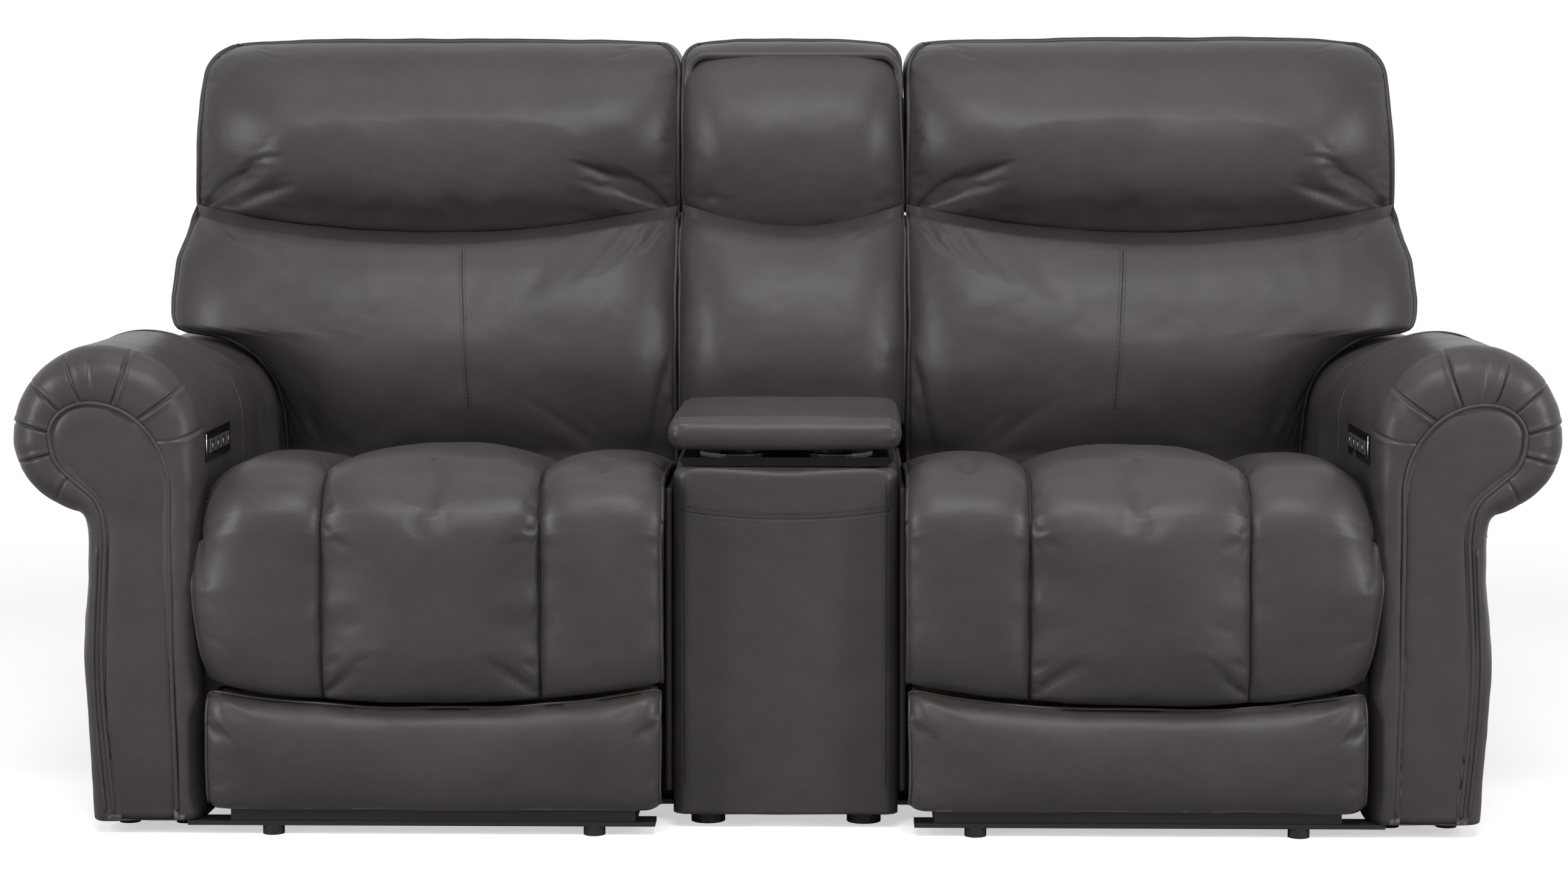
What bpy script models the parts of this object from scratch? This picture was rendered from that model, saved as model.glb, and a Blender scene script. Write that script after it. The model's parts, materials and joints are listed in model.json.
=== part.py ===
"""Power reclining console loveseat: two reclining seats with a storage console between them.

Units are metres, +Z is up, +X is the sitter's left, and the front faces -Y.
The origin is on the floor under the middle of the whole piece.
"""

import math

import bmesh
import bpy
from mathutils import Matrix, Vector

# Overall sizes
DEPTH = 1.020
BACK_TOP = 1.068
SEAT_CROWN = 0.508
SEAT_PITCH_DROP = 0.047
SEAT_NOSE_REACH = 0.060
SEAT_NOSE_SHARE = 0.78
FRONT_Y = -DEPTH / 2
REAR_Y = DEPTH / 2

# Clearances
TOUCH_GAP = 0.0003
RUNNING_GAP = 0.0005
SOFT_GAP = 0.002
SLIDE_GAP = 0.008
WELD = 0.001

# Console
CONSOLE_WIDTH = 0.300
CONSOLE_SETBACK = 0.090
CONSOLE_HEIGHT = 0.485
CONSOLE_FOOT_HEIGHT = 0.020
CONSOLE_FOOT_RADIUS = 0.023
CONSOLE_FOOT_INSET = 0.045
CONSOLE_WALL = 0.022
CONSOLE_FLOOR = 0.080
TRAY_THICKNESS = 0.012
CUP_RADIUS = 0.041
CUP_DEPTH = 0.068
CUP_WALL = 0.002
CUP_RIM = 0.008
CUP_SPACING = 0.134
BIN_LENGTH = 0.150
BIN_WALL = 0.003
BIN_DEPTH = 0.170
LID_THICKNESS = 0.046
LID_LENGTH = 0.350
LID_OVERHANG = 0.005
LID_LIFT = 0.012
LID_PIN_RADIUS = 0.004
LID_SLEEVE_WALL = 0.003
HINGE_POST_WALL = 0.0015
LID_HINGE_SETBACK = 0.009
LID_HINGE_RUN = 0.018

# Seats
SEAT_BODY_WIDTH = 0.606
PAD_OVERLAP = 0.014
CHANNEL_SIDE = 0.160
CHANNEL_DEPTH = 0.020
DECK_TOP = 0.320
DECK_THICKNESS = 0.015
SEAT_SLOPE_RUN = 0.110
SEAT_SLOPE_RISE = 0.130
NOSE_SETBACK = 0.006

# Footrest
PAD_THICKNESS = 0.098
PAD_EDGE_ROUND = 0.024
PAD_BOTTOM = 0.036
PAD_JOINT_HEIGHT = 0.193
PAD_JOINT_GAP = 0.006
BOARD_THICKNESS = 0.012
LINK_LENGTH = 0.192
LINK_WIDTH = 0.028
LINK_THICKNESS = 0.004
LINK_FOLDED_OFFSET = 0.010
LINK_PIVOT_HEIGHT = 0.286
LINK_PIVOT_SETBACK = 0.195
PIN_RADIUS = 0.006
PIN_CLEARANCE = 0.0005
TORQUE_TUBE_RADIUS = 0.006
TORQUE_TUBE_SETBACK = 0.026

# Arms
ARM_SETBACK = 0.040
ARM_LENGTH = 0.840
ARM_BOTTOM = 0.020
BOARD_STANDOUT = 0.0025
ARM_TOP = 0.622
ARM_POST_WIDTH = 0.152
ROLL_REACH = 0.116
ROLL_DROP = 0.100
ROLL_CENTRE_INSET = 0.136
ROLL_RISE = 0.102
CREST_RISE = 0.028
CREST_LENGTH = 0.315
CREST_FALL_LENGTH = 0.190
KNEE_HEIGHT = 0.240
KNEE_FLARE = 0.009
POST_FLARE = 0.002
ROLL_TUCK = 0.008
NOSE_DEPTH = 0.046
NOSE_INSET = 0.036
FACING_THICKNESS = 0.015
FACING_INSET = 0.012
FACING_SHARE = 0.60
ARM_PLY = 0.015
ARM_PADDING = 0.030
GLIDE_RADIUS = 0.0145
GLIDE_HEIGHT = 0.013

# Controls
PANEL_LENGTH = 0.170
PANEL_HEIGHT = 0.040
PANEL_DEPTH = 0.016
PANEL_SETBACK = 0.002
PANEL_CENTRE_Z = 0.510
BUTTON_COUNT = 4
BUTTON_LENGTH = 0.026
BUTTON_HEIGHT = 0.018
BUTTON_PITCH = 0.036
BUTTON_PROUD = 0.003
BUTTON_WELL = 0.010

# Backs
BACK_GAP = 0.009
BACK_FOOT_Z = 0.350
LUMBAR_FRONT_Y = 0.070
SEAM_Y = 0.190
SEAM_END_Z = 0.805
SEAM_DIP = 0.042
HEAD_TOP_FRONT_Y = 0.285
HEAD_REACH = 0.130
HEAD_TAPER = 0.014
TOP_ROUND = 0.080
BACK_OUTER_X = 0.910
BACK_BULGE = 0.024
WING_CLEARANCE = 0.022
SHELL_BOTTOM = 0.140
SHELL_BOTTOM_REAR_Y = 0.395
SHELL_WALL = 0.018
BACK_PANEL_Y = 0.236
BACK_PANEL_THICKNESS = 0.015
BACK_PANEL_MARGIN = 0.030
RECLINE_PIVOT_Y = 0.340
RECLINE_PIVOT_Z = 0.320
EAR_WIDTH = 0.044
HEAD_ARC_RADIUS = 0.100
HEAD_PLATE_WIDTH = 0.300
HEAD_PLATE_THICKNESS = 0.004
HEAD_PLATE_RISE = 0.190
HEAD_TONGUE_ANGLE = 40.0
GUIDE_WALL = 0.008
GUIDE_HEIGHT = 0.045

# Base
TUBE = 0.022
BASE_REAR_Y = 0.330
BASE_FRONT_SETBACK = 0.045
TRACK_HEIGHT = 0.240
TRACK_WIDTH = 0.016
TRACK_RAIL = 0.020
TRACK_SETBACK = 0.240
TRACK_LENGTH = 0.420
POST_LENGTH = 0.030
PLATE_INSET = 0.044
MOTOR_RADIUS = 0.030
MOTOR_LENGTH = 0.300
STRAP_OVERHANG = 0.009
STRAP_UNDER_ARM = 0.020
STRAP_DEPTH = 0.036
STRAP_PROUD = 0.003
STRAP_THICKNESS = 0.006
GLIDE_INSET = 0.044
GLIDE_REAR_INSET = 0.030
LUG_SETBACK = 0.120
LUG_WIDTH = 0.040
LUG_THICKNESS = 0.006
SADDLE_WIDTH = 0.030
SADDLE_HEIGHT = 0.010

# Places worked out from the sizes above
CONSOLE_HALF = CONSOLE_WIDTH / 2
SEAT_INNER = CONSOLE_HALF + SOFT_GAP + 0.010
SEAT_OUTER = SEAT_INNER + SEAT_BODY_WIDTH
SEAT_MIDDLE = (SEAT_INNER + SEAT_OUTER) / 2
ARM_INNER = SEAT_OUTER + SOFT_GAP
ARM_FRONT = FRONT_Y + ARM_SETBACK
ARM_REAR = ARM_FRONT + ARM_LENGTH
ROLL_X = ARM_INNER + ROLL_CENTRE_INSET
ROLL_Z = ARM_TOP - ROLL_DROP
ROLL_SPRING_HEIGHT = ARM_TOP - ROLL_RISE
ARM_GLIDE_HEIGHT = ARM_BOTTOM - BOARD_STANDOUT
ARM_OUTER = ARM_INNER + ARM_POST_WIDTH
BACK_INNER = CONSOLE_HALF + BACK_GAP + 0.0165
CENTRE_HALF = BACK_INNER - BACK_GAP
BACK_SIDE_PLAY = 0.003
BACK_LOWER_OUTER = ARM_INNER - SLIDE_GAP - BACK_SIDE_PLAY
SEAT_REAR = LUMBAR_FRONT_Y - 0.018
PAD_REAR = FRONT_Y + PAD_THICKNESS
BOARD_REAR = PAD_REAR + TOUCH_GAP + BOARD_THICKNESS
SLOPE_FOOT_Y = FRONT_Y + SEAT_SLOPE_RUN + 0.010
LINK_PIVOT_Y = FRONT_Y + LINK_PIVOT_SETBACK
TRAY_TOP = CONSOLE_HEIGHT + TRAY_THICKNESS
CONSOLE_FRONT = FRONT_Y + CONSOLE_SETBACK
LID_BOTTOM = TRAY_TOP + LID_LIFT
LID_FRONT = CONSOLE_FRONT - 0.020
LID_REAR = LID_FRONT + LID_LENGTH
CUP_Y = CONSOLE_FRONT + CONSOLE_WALL + CUP_RADIUS + CUP_RIM + 0.004
BIN_FRONT = CUP_Y + CUP_RADIUS + CUP_RIM + 0.010
PLATE_X = (SEAT_INNER + PLATE_INSET, SEAT_OUTER - PLATE_INSET)

SIDES = {"left": -1, "right": 1}
BACK_STATIONS = (-1.0, -0.93, -0.7, -0.35, -0.04, 0.0, 0.04, 0.35, 0.7, 0.93, 1.0)


def clear_scene():
    for old in list(bpy.data.objects):
        bpy.data.objects.remove(old, do_unlink=True)


def finish(name, colour, roughness, metallic=0.0):
    """One Principled material."""
    made = bpy.data.materials.new(name)
    made.use_nodes = True
    shader = made.node_tree.nodes["Principled BSDF"]
    shader.inputs["Base Color"].default_value = (*colour, 1.0)
    shader.inputs["Roughness"].default_value = roughness
    shader.inputs["Metallic"].default_value = metallic
    return made


def finishes():
    return {
        "leather": finish("leather", (0.062, 0.055, 0.053), 0.45),
        "black_steel": finish("black_steel", (0.02, 0.02, 0.02), 0.40, 0.6),
        "zinc_steel": finish("zinc_steel", (0.45, 0.45, 0.46), 0.35, 1.0),
        "polished_steel": finish("polished_steel", (0.75, 0.75, 0.76), 0.15, 1.0),
        "plywood": finish("plywood", (0.50, 0.36, 0.22), 0.65),
        "gloss_black": finish("gloss_black", (0.008, 0.008, 0.009), 0.12),
        "black_plastic": finish("black_plastic", (0.02, 0.02, 0.02), 0.55),
        "button_grey": finish("button_grey", (0.05, 0.05, 0.055), 0.35),
    }


def lerp(a, b, t):
    return a + (b - a) * t


def mesh_object(name, bm, material, origin=(0.0, 0.0, 0.0), smooth=True):
    """Turn a bmesh drawn in world places into an object whose origin is where it should turn."""
    bmesh.ops.recalc_face_normals(bm, faces=bm.faces)
    if bm.calc_volume(signed=True) < 0:
        bmesh.ops.reverse_faces(bm, faces=bm.faces)
    bmesh.ops.translate(bm, verts=bm.verts, vec=-Vector(origin))
    mesh = bpy.data.meshes.new(name)
    bm.to_mesh(mesh)
    bm.free()
    if smooth:
        mesh.shade_smooth()
        mesh.set_sharp_from_angle(angle=math.radians(40))
    made = bpy.data.objects.new(name, mesh)
    made.location = origin
    mesh.materials.append(material)
    bpy.context.collection.objects.link(made)
    return made


def shaped_block(us, vs, ws, place):
    """A block divided at the given stations, each corner put where place(u, v, w) says."""
    bm = bmesh.new()
    bmesh.ops.create_cube(bm, size=2.0)
    stations = (us, vs, ws)
    for axis in range(3):
        along = [
            edge
            for edge in bm.edges
            if abs(edge.verts[0].co[axis] - edge.verts[1].co[axis]) > 1.0
        ]
        if len(stations[axis]) > 2:
            bmesh.ops.subdivide_edges(
                bm, edges=along, cuts=len(stations[axis]) - 2, use_grid_fill=True
            )
    for vert in bm.verts:
        picked = []
        for axis in range(3):
            cells = len(stations[axis]) - 1
            index = round((vert.co[axis] + 1.0) / 2.0 * cells)
            picked.append(stations[axis][index])
        vert.co = place(*picked)
    return bm


def box(low, high):
    """A plain block between two corners."""
    return shaped_block(
        (low[0], high[0]), (low[1], high[1]), (low[2], high[2]), lambda x, y, z: (x, y, z)
    )


def loft(rings):
    """A closed body through rings of points, with flat ends."""
    bm = bmesh.new()
    loops = [[bm.verts.new(point) for point in ring] for ring in rings]
    for near, far in zip(loops, loops[1:]):
        for i in range(len(near)):
            j = (i + 1) % len(near)
            bm.faces.new((near[i], near[j], far[j], far[i]))
    bm.faces.new(loops[0])
    bm.faces.new(loops[-1])
    return bm


def side_plate(outline, x_low, x_high):
    """A plate cut to an outline of (y, z) points, standing across X."""
    return loft([[(x, y, z) for y, z in outline] for x in (x_low, x_high)])


def cylinder(centre, radius, length, axis, segments=16):
    """A round bar centred on a point."""
    bm = bmesh.new()
    turn = Vector((0, 0, 1)).rotation_difference(Vector(axis)).to_matrix().to_4x4()
    bmesh.ops.create_cone(
        bm,
        cap_ends=True,
        segments=segments,
        radius1=radius,
        radius2=radius,
        depth=length,
        matrix=Matrix.Translation(Vector(centre)) @ turn,
    )
    return bm


def merged(parts):
    """Several closed bodies in one bmesh, kept apart."""
    whole = bmesh.new()
    for part in parts:
        mesh = bpy.data.meshes.new("piece")
        part.to_mesh(mesh)
        part.free()
        whole.from_mesh(mesh)
        bpy.data.meshes.remove(mesh)
    return whole


def combine(target, tool_bm, operation):
    """Join a shape to an object, or cut it out, with an exact Boolean."""
    tool = mesh_object(target.name + "_tool", tool_bm, target.data.materials[0], smooth=False)
    tool.hide_render = True
    tool.display_type = "WIRE"
    step = target.modifiers.new(operation.lower(), "BOOLEAN")
    step.operation = operation
    step.solver = "EXACT"
    step.object = tool


def offset_outline(outline, distance):
    """The outline drawn inwards by a distance; its points run anticlockwise."""
    moved = []
    count = len(outline)
    for i, (x, z) in enumerate(outline):
        before = Vector(outline[i - 1])
        after = Vector(outline[(i + 1) % count])
        run = after - before
        inward = Vector((-run.y, run.x)).normalized()
        moved.append((x + inward.x * distance, z + inward.y * distance))
    return moved


def bar_outline(start, end, width, segments=6):
    """A flat bar with round ends between two pivots, as (y, z) points."""
    start = Vector(start)
    end = Vector(end)
    heading = math.atan2(end.y - start.y, end.x - start.x)
    points = []
    for centre, first in ((end, heading - math.pi / 2), (start, heading + math.pi / 2)):
        for i in range(segments + 1):
            angle = first + math.pi * i / segments
            reach = Vector((math.cos(angle), math.sin(angle))) * (width / 2)
            points.append(tuple(centre + reach))
    return points


def arm_outline():
    """The arm's section, anticlockwise from the inner bottom corner, in (x, z) for the right arm."""
    outer_low = (ARM_OUTER - POST_FLARE, ARM_BOTTOM)
    points = [(ARM_INNER, ARM_BOTTOM)]
    points.append(outer_low)
    points.append((ARM_OUTER + KNEE_FLARE, KNEE_HEIGHT))
    points.append((ARM_OUTER + POST_FLARE, ROLL_Z - ROLL_DROP - ROLL_TUCK))
    for i in range(9):
        angle = math.radians(lerp(-78, 90, i / 8))
        points.append((ROLL_X + ROLL_REACH * math.cos(angle), ROLL_Z + ROLL_DROP * math.sin(angle)))
    for i in range(1, 6):
        angle = math.radians(lerp(90, 180, i / 5))
        x = ROLL_X + ROLL_CENTRE_INSET * math.cos(angle)
        points.append((x, ROLL_SPRING_HEIGHT + (ARM_TOP - ROLL_SPRING_HEIGHT) * math.sin(angle)))
    points.append((ARM_INNER, (ROLL_SPRING_HEIGHT + ARM_BOTTOM) / 2))
    return points


def facing_outline():
    """The flat front panel of the arm: an egg-shaped head on a narrower post."""
    inner = ARM_INNER + ROLL_CENTRE_INSET * 0.30
    head_reach = ROLL_REACH * FACING_SHARE
    head_drop = ROLL_DROP * FACING_SHARE
    head_x = ROLL_X
    head_z = ROLL_Z - 0.010
    post_outer = ARM_OUTER - NOSE_INSET + 0.004
    points = [(inner, ARM_BOTTOM + FACING_INSET), (post_outer, ARM_BOTTOM + FACING_INSET)]
    points.append((post_outer + KNEE_FLARE, KNEE_HEIGHT))
    points.append((post_outer, ROLL_Z - ROLL_DROP))
    for i in range(9):
        angle = math.radians(lerp(-50, 120, i / 8))
        points.append((head_x + head_reach * math.cos(angle), head_z + head_drop * math.sin(angle)))
    points.append((inner + 0.010, head_z + 0.020))
    points.append((inner, head_z - 0.030))
    return points


def crest_rise(y):
    """How far the top of the roll stands above its rear height: full in front, none under the back."""
    share = (y - ARM_FRONT - CREST_LENGTH) / CREST_FALL_LENGTH
    share = min(1.0, max(0.0, share))
    return CREST_RISE * (1 - share * share * (3 - 2 * share))


def make_arm(side, sign, looks):
    outline = arm_outline()
    face_y = ARM_FRONT + FACING_THICKNESS + TOUCH_GAP
    crest_end = ARM_FRONT + CREST_LENGTH
    stations = [
        (face_y, NOSE_INSET),
        (face_y + NOSE_DEPTH * 0.12, NOSE_INSET * 0.45),
        (face_y + NOSE_DEPTH * 0.45, NOSE_INSET * 0.12),
        (face_y + NOSE_DEPTH, 0.0),
        (crest_end, 0.0),
        (crest_end + CREST_FALL_LENGTH / 3, 0.0),
        (crest_end + CREST_FALL_LENGTH * 2 / 3, 0.0),
        (crest_end + CREST_FALL_LENGTH, 0.0),
        (ARM_REAR - 0.020, 0.0),
        (ARM_REAR - 0.005, 0.006),
        (ARM_REAR, 0.016),
    ]
    rings = []
    for y, inset in stations:
        ring = []
        for x, z in offset_outline(outline, inset):
            z += crest_rise(y) * max(0.0, z - ROLL_Z) / ROLL_DROP
            ring.append((sign * x, y, max(z, ARM_BOTTOM)))
        rings.append(ring)
    cover = mesh_object(f"arm_cover_{side}", loft(rings), looks["leather"])

    # The cavity is open at the bottom, where the plywood frame slides in
    frame_low = ARM_INNER + ARM_PADDING
    frame_high = ARM_OUTER - ARM_PADDING
    frame_front = face_y + ARM_PADDING
    frame_rear = ARM_REAR - ARM_PADDING
    frame_top = ROLL_Z
    cavity = box(
        (sign * (frame_low - TOUCH_GAP), frame_front - TOUCH_GAP, ARM_BOTTOM - 0.010),
        (sign * (frame_high + TOUCH_GAP), frame_rear + TOUCH_GAP, frame_top + TOUCH_GAP),
    )
    combine(cover, cavity, "DIFFERENCE")

    section = [
        (frame_low, ARM_GLIDE_HEIGHT),
        (frame_low + ARM_PLY, ARM_GLIDE_HEIGHT),
        (frame_low + ARM_PLY, frame_top - ARM_PLY),
        (frame_high - ARM_PLY, frame_top - ARM_PLY),
        (frame_high - ARM_PLY, ARM_GLIDE_HEIGHT),
        (frame_high, ARM_GLIDE_HEIGHT),
        (frame_high, frame_top),
        (frame_low, frame_top),
    ]
    rings = [[(sign * x, y, z) for x, z in section] for y in (frame_front, frame_rear)]
    frame = mesh_object(f"arm_frame_{side}", loft(rings), looks["plywood"], smooth=False)
    glides = []
    for x in (frame_low + ARM_PLY / 2, frame_high - ARM_PLY / 2):
        for y in (frame_front + 0.040, frame_rear - 0.040):
            centre = (sign * x, y, (ARM_GLIDE_HEIGHT + WELD) / 2)
            glides.append(cylinder(centre, GLIDE_RADIUS, ARM_GLIDE_HEIGHT + WELD, (0, 0, 1), 12))
    combine(frame, merged(glides), "UNION")

    panel = facing_outline()
    rings = []
    for y, inset in ((ARM_FRONT, 0.008), (ARM_FRONT + 0.005, 0.0), (ARM_FRONT + FACING_THICKNESS, 0.0)):
        rings.append([(sign * x, y, z) for x, z in offset_outline(panel, inset)])
    mesh_object(f"arm_facing_{side}", loft(rings), looks["leather"])
    return cover


def make_controls(side, sign, cover, looks):
    """The switch panel let into the arm's inner face, and its press buttons."""
    front = ARM_FRONT + PANEL_SETBACK + NOSE_DEPTH
    rear = front + PANEL_LENGTH
    low_z = PANEL_CENTRE_Z - PANEL_HEIGHT / 2
    high_z = PANEL_CENTRE_Z + PANEL_HEIGHT / 2
    face_x = ARM_INNER - 0.0015
    back_x = face_x + PANEL_DEPTH
    combine(
        cover,
        box(
            (sign * (ARM_INNER - 0.020), front - TOUCH_GAP, low_z - TOUCH_GAP),
            (sign * (back_x + TOUCH_GAP), rear + TOUCH_GAP, high_z + TOUCH_GAP),
        ),
        "DIFFERENCE",
    )
    panel = mesh_object(
        f"control_panel_{side}",
        box((sign * face_x, front, low_z), (sign * back_x, rear, high_z)),
        looks["gloss_black"],
        smooth=False,
    )
    wells = []
    well_x = face_x + BUTTON_WELL
    middle = (front + rear) / 2
    for i in range(BUTTON_COUNT):
        y = middle + (i - (BUTTON_COUNT - 1) / 2) * BUTTON_PITCH
        half_y = BUTTON_LENGTH / 2
        half_z = BUTTON_HEIGHT / 2
        wells.append(
            box(
                (sign * (face_x - 0.010), y - half_y - RUNNING_GAP, PANEL_CENTRE_Z - half_z - RUNNING_GAP),
                (sign * well_x, y + half_y + RUNNING_GAP, PANEL_CENTRE_Z + half_z + RUNNING_GAP),
            )
        )
        proud = face_x - BUTTON_PROUD
        seat = face_x + BUTTON_WELL - BUTTON_PROUD
        edge = 0.0012
        rings = []
        for x, trim in ((proud, edge), (proud + edge, 0.0), (seat, 0.0)):
            rings.append(
                [
                    (sign * x, y - half_y + trim, PANEL_CENTRE_Z - half_z + trim),
                    (sign * x, y + half_y - trim, PANEL_CENTRE_Z - half_z + trim),
                    (sign * x, y + half_y - trim, PANEL_CENTRE_Z + half_z - trim),
                    (sign * x, y - half_y + trim, PANEL_CENTRE_Z + half_z - trim),
                ]
            )
        origin = (sign * face_x, y, PANEL_CENTRE_Z)
        mesh_object(f"button_{i + 1}_{side}", loft(rings), looks["button_grey"], origin, smooth=False)
    combine(panel, merged(wells), "DIFFERENCE")


def channel_fall(x, low, high):
    """How far the leather is drawn in across the three sewn channels, nothing at each crown."""
    creases = (low, low + CHANNEL_SIDE, high - CHANNEL_SIDE, high)
    for near, far in zip(creases, creases[1:]):
        if near - 1e-6 <= x <= far + 1e-6:
            share = abs(2 * (x - near) / (far - near) - 1)
            return CHANNEL_DEPTH * share**3
    return CHANNEL_DEPTH


def channel_stations(low, high):
    """Stations across the seat: every crease, and four between each pair."""
    creases = (low, low + CHANNEL_SIDE, high - CHANNEL_SIDE, high)
    stations = [low]
    for near, far in zip(creases, creases[1:]):
        stations += [lerp(near, far, share) for share in (0.12, 0.5, 0.88, 1.0)]
    return stations


def seat_slope_z(y):
    """Height of the sloping joint between the seat cushion and the footrest, at depth y."""
    return DECK_TOP + TOUCH_GAP + (SLOPE_FOOT_Y - y) / SEAT_SLOPE_RUN * SEAT_SLOPE_RISE


def make_seat_cushion(side, sign, looks):
    """Foam seat with three sewn channels; its rounded nose overhangs the folded footrest."""
    bottom = DECK_TOP + TOUCH_GAP
    lip_y = SLOPE_FOOT_Y - SEAT_SLOPE_RUN
    lip_z = seat_slope_z(lip_y)
    nose_y = FRONT_Y + NOSE_SETBACK
    rise = SEAT_CROWN - lip_z

    def top_point(t):
        if t <= 0.0:
            return lip_y, lip_z
        if t < 0.3:
            angle = math.radians(lerp(-20, 90, t / 0.3))
            y = nose_y + SEAT_NOSE_REACH * (1 - math.cos(angle))
            return y, SEAT_CROWN - rise * SEAT_NOSE_SHARE * (1 - math.sin(angle))
        share = (t - 0.3) / 0.7
        dip = SEAT_PITCH_DROP * share ** 1.5
        return lerp(nose_y + SEAT_NOSE_REACH, SEAT_REAR, share), SEAT_CROWN - dip

    def place(x, t, w):
        foot_y = lerp(SLOPE_FOOT_Y, SEAT_REAR, t)
        y, z = top_point(t)
        fall = channel_fall(x, SEAT_INNER, SEAT_OUTER)
        spine_y = max(y, nose_y + 0.080)
        spine_z = bottom + 0.080
        toward = Vector((spine_y - y, spine_z - z))
        toward.normalize()
        y += toward.x * fall
        z += toward.y * fall
        draw = math.sin(math.pi * w) * 0.004 * (1 if x > SEAT_MIDDLE else -1)
        edge = x in (SEAT_INNER, SEAT_OUTER)
        return (
            sign * (x - (draw if edge else 0.0)),
            lerp(foot_y, y, w),
            lerp(bottom, z, w),
        )

    across = channel_stations(SEAT_INNER, SEAT_OUTER)
    along = (0.0, 0.06, 0.14, 0.22, 0.3, 0.5, 0.75, 1.0)
    bm = shaped_block(across, along, (0.0, 0.5, 1.0), place)
    mesh_object(f"seat_cushion_{side}", bm, looks["leather"])


def make_footrest(side, sign, looks):
    """Two pads on a board, and the brackets that hang the board on the links."""
    low_x = SEAT_INNER
    high_x = SEAT_OUTER + PAD_OVERLAP
    pivot = (sign * SEAT_MIDDLE, LINK_PIVOT_Y - LINK_FOLDED_OFFSET, LINK_PIVOT_HEIGHT)

    def upper(x, w, t):
        fall = channel_fall(min(x, SEAT_OUTER), SEAT_INNER, SEAT_OUTER)
        centre = 1 - abs(2 * (x - low_x) / (high_x - low_x) - 1) ** 2
        smile = 0.019 * centre
        bottom = PAD_JOINT_HEIGHT + PAD_JOINT_GAP / 2 + 0.014 - smile
        top = seat_slope_z(lerp(PAD_REAR, FRONT_Y + PAD_EDGE_ROUND, w)) - SOFT_GAP * 2
        edge = 1 - (2 * t - 1) ** 6
        y = lerp(PAD_REAR, FRONT_Y + 0.018 * (1 - edge) + fall * 0.8, w)
        if w > 0 and t in (0.0, 1.0):
            y = lerp(PAD_REAR, FRONT_Y + PAD_EDGE_ROUND, w)
        if x > SEAT_OUTER and y > ARM_FRONT - SLIDE_GAP:
            x = SEAT_OUTER
        return (sign * x, y, lerp(bottom, top, t))

    across = channel_stations(low_x, SEAT_OUTER)
    across[-1] = high_x
    bm = shaped_block(across, (0.0, 0.55, 1.0), (0.0, 0.06, 0.3, 0.6, 0.9, 1.0), upper)
    mesh_object(f"footrest_upper_pad_{side}", bm, looks["leather"], pivot)

    def lower(u, w, t):
        half = lerp(1.0, 0.985, abs(2 * t - 1) ** 8)
        x = (low_x + high_x) / 2 + u * (high_x - low_x) / 2 * half
        centre = 1 - u * u
        top = PAD_JOINT_HEIGHT - PAD_JOINT_GAP / 2 + 0.014 * (1 - centre) - 0.008
        round_off = 0.030 * (1 - (1 - abs(u) ** 6) * (1 - abs(2 * t - 1) ** 6))
        y = lerp(PAD_REAR, FRONT_Y + 0.004 + round_off, w)
        if y > ARM_FRONT - SLIDE_GAP:
            x = min(x, SEAT_OUTER)
        return (sign * x, y, lerp(PAD_BOTTOM, top, t))

    us = (-1.0, -0.93, -0.75, -0.35, 0.0, 0.35, 0.75, 0.93, 1.0)
    bm = shaped_block(us, (0.0, 0.55, 1.0), (0.0, 0.1, 0.35, 0.65, 0.9, 1.0), lower)
    mesh_object(f"footrest_lower_pad_{side}", bm, looks["leather"], pivot)

    board_low = (sign * (SEAT_INNER + 0.020), PAD_REAR + TOUCH_GAP, PAD_BOTTOM + 0.020)
    board_high = (sign * (SEAT_OUTER - 0.020), BOARD_REAR, seat_slope_z(BOARD_REAR) - 0.012)
    board = mesh_object(
        f"footrest_board_{side}", box(board_low, board_high), looks["plywood"], pivot, smooth=False
    )
    for x_low, x_high, inward in link_planes(3):
        reach = LINK_WIDTH / 2
        root = BOARD_REAR - BOARD_THICKNESS / 4
        shape = [(root, pivot[2] - reach), (root, pivot[2] + reach)]
        for i in range(7):
            angle = math.radians(lerp(90, -90, i / 6))
            shape.append((pivot[1] + reach * math.cos(angle), pivot[2] + reach * math.sin(angle)))
        combine(board, side_plate(shape, sign * x_low, sign * x_high), "UNION")
    holes = []
    for x_low, x_high, inward in link_planes(3):
        middle = (x_low + x_high) / 2
        holes.append(
            cylinder((sign * middle, pivot[1], pivot[2]), PIN_RADIUS + PIN_CLEARANCE, 0.020, (1, 0, 0))
        )
    combine(board, merged(holes), "DIFFERENCE")


def link_planes(order):
    """X ranges of one layer of the folding links at both side plates; order 0 is the plate itself."""
    pitch = LINK_THICKNESS + RUNNING_GAP
    layers = []
    for plate, inward in zip(PLATE_X, (1, -1)):
        near = plate + inward * pitch * order
        far = near + inward * LINK_THICKNESS
        layers.append((min(near, far), max(near, far), inward))
    return layers


def link_pin(sign, x_low, x_high, inward, pivot, reach, side_of):
    """A pivot pin that leaves a link and passes through the next layer, with a head beyond it."""
    start = x_high if inward * side_of > 0 else x_low
    step = 1 if inward * side_of > 0 else -1
    end = start + step * reach
    middle = (start - step * 0.001 + end) / 2
    length = abs(end - start) + 0.001
    return cylinder((sign * middle, pivot[0], pivot[1]), PIN_RADIUS, length, (1, 0, 0))


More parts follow.
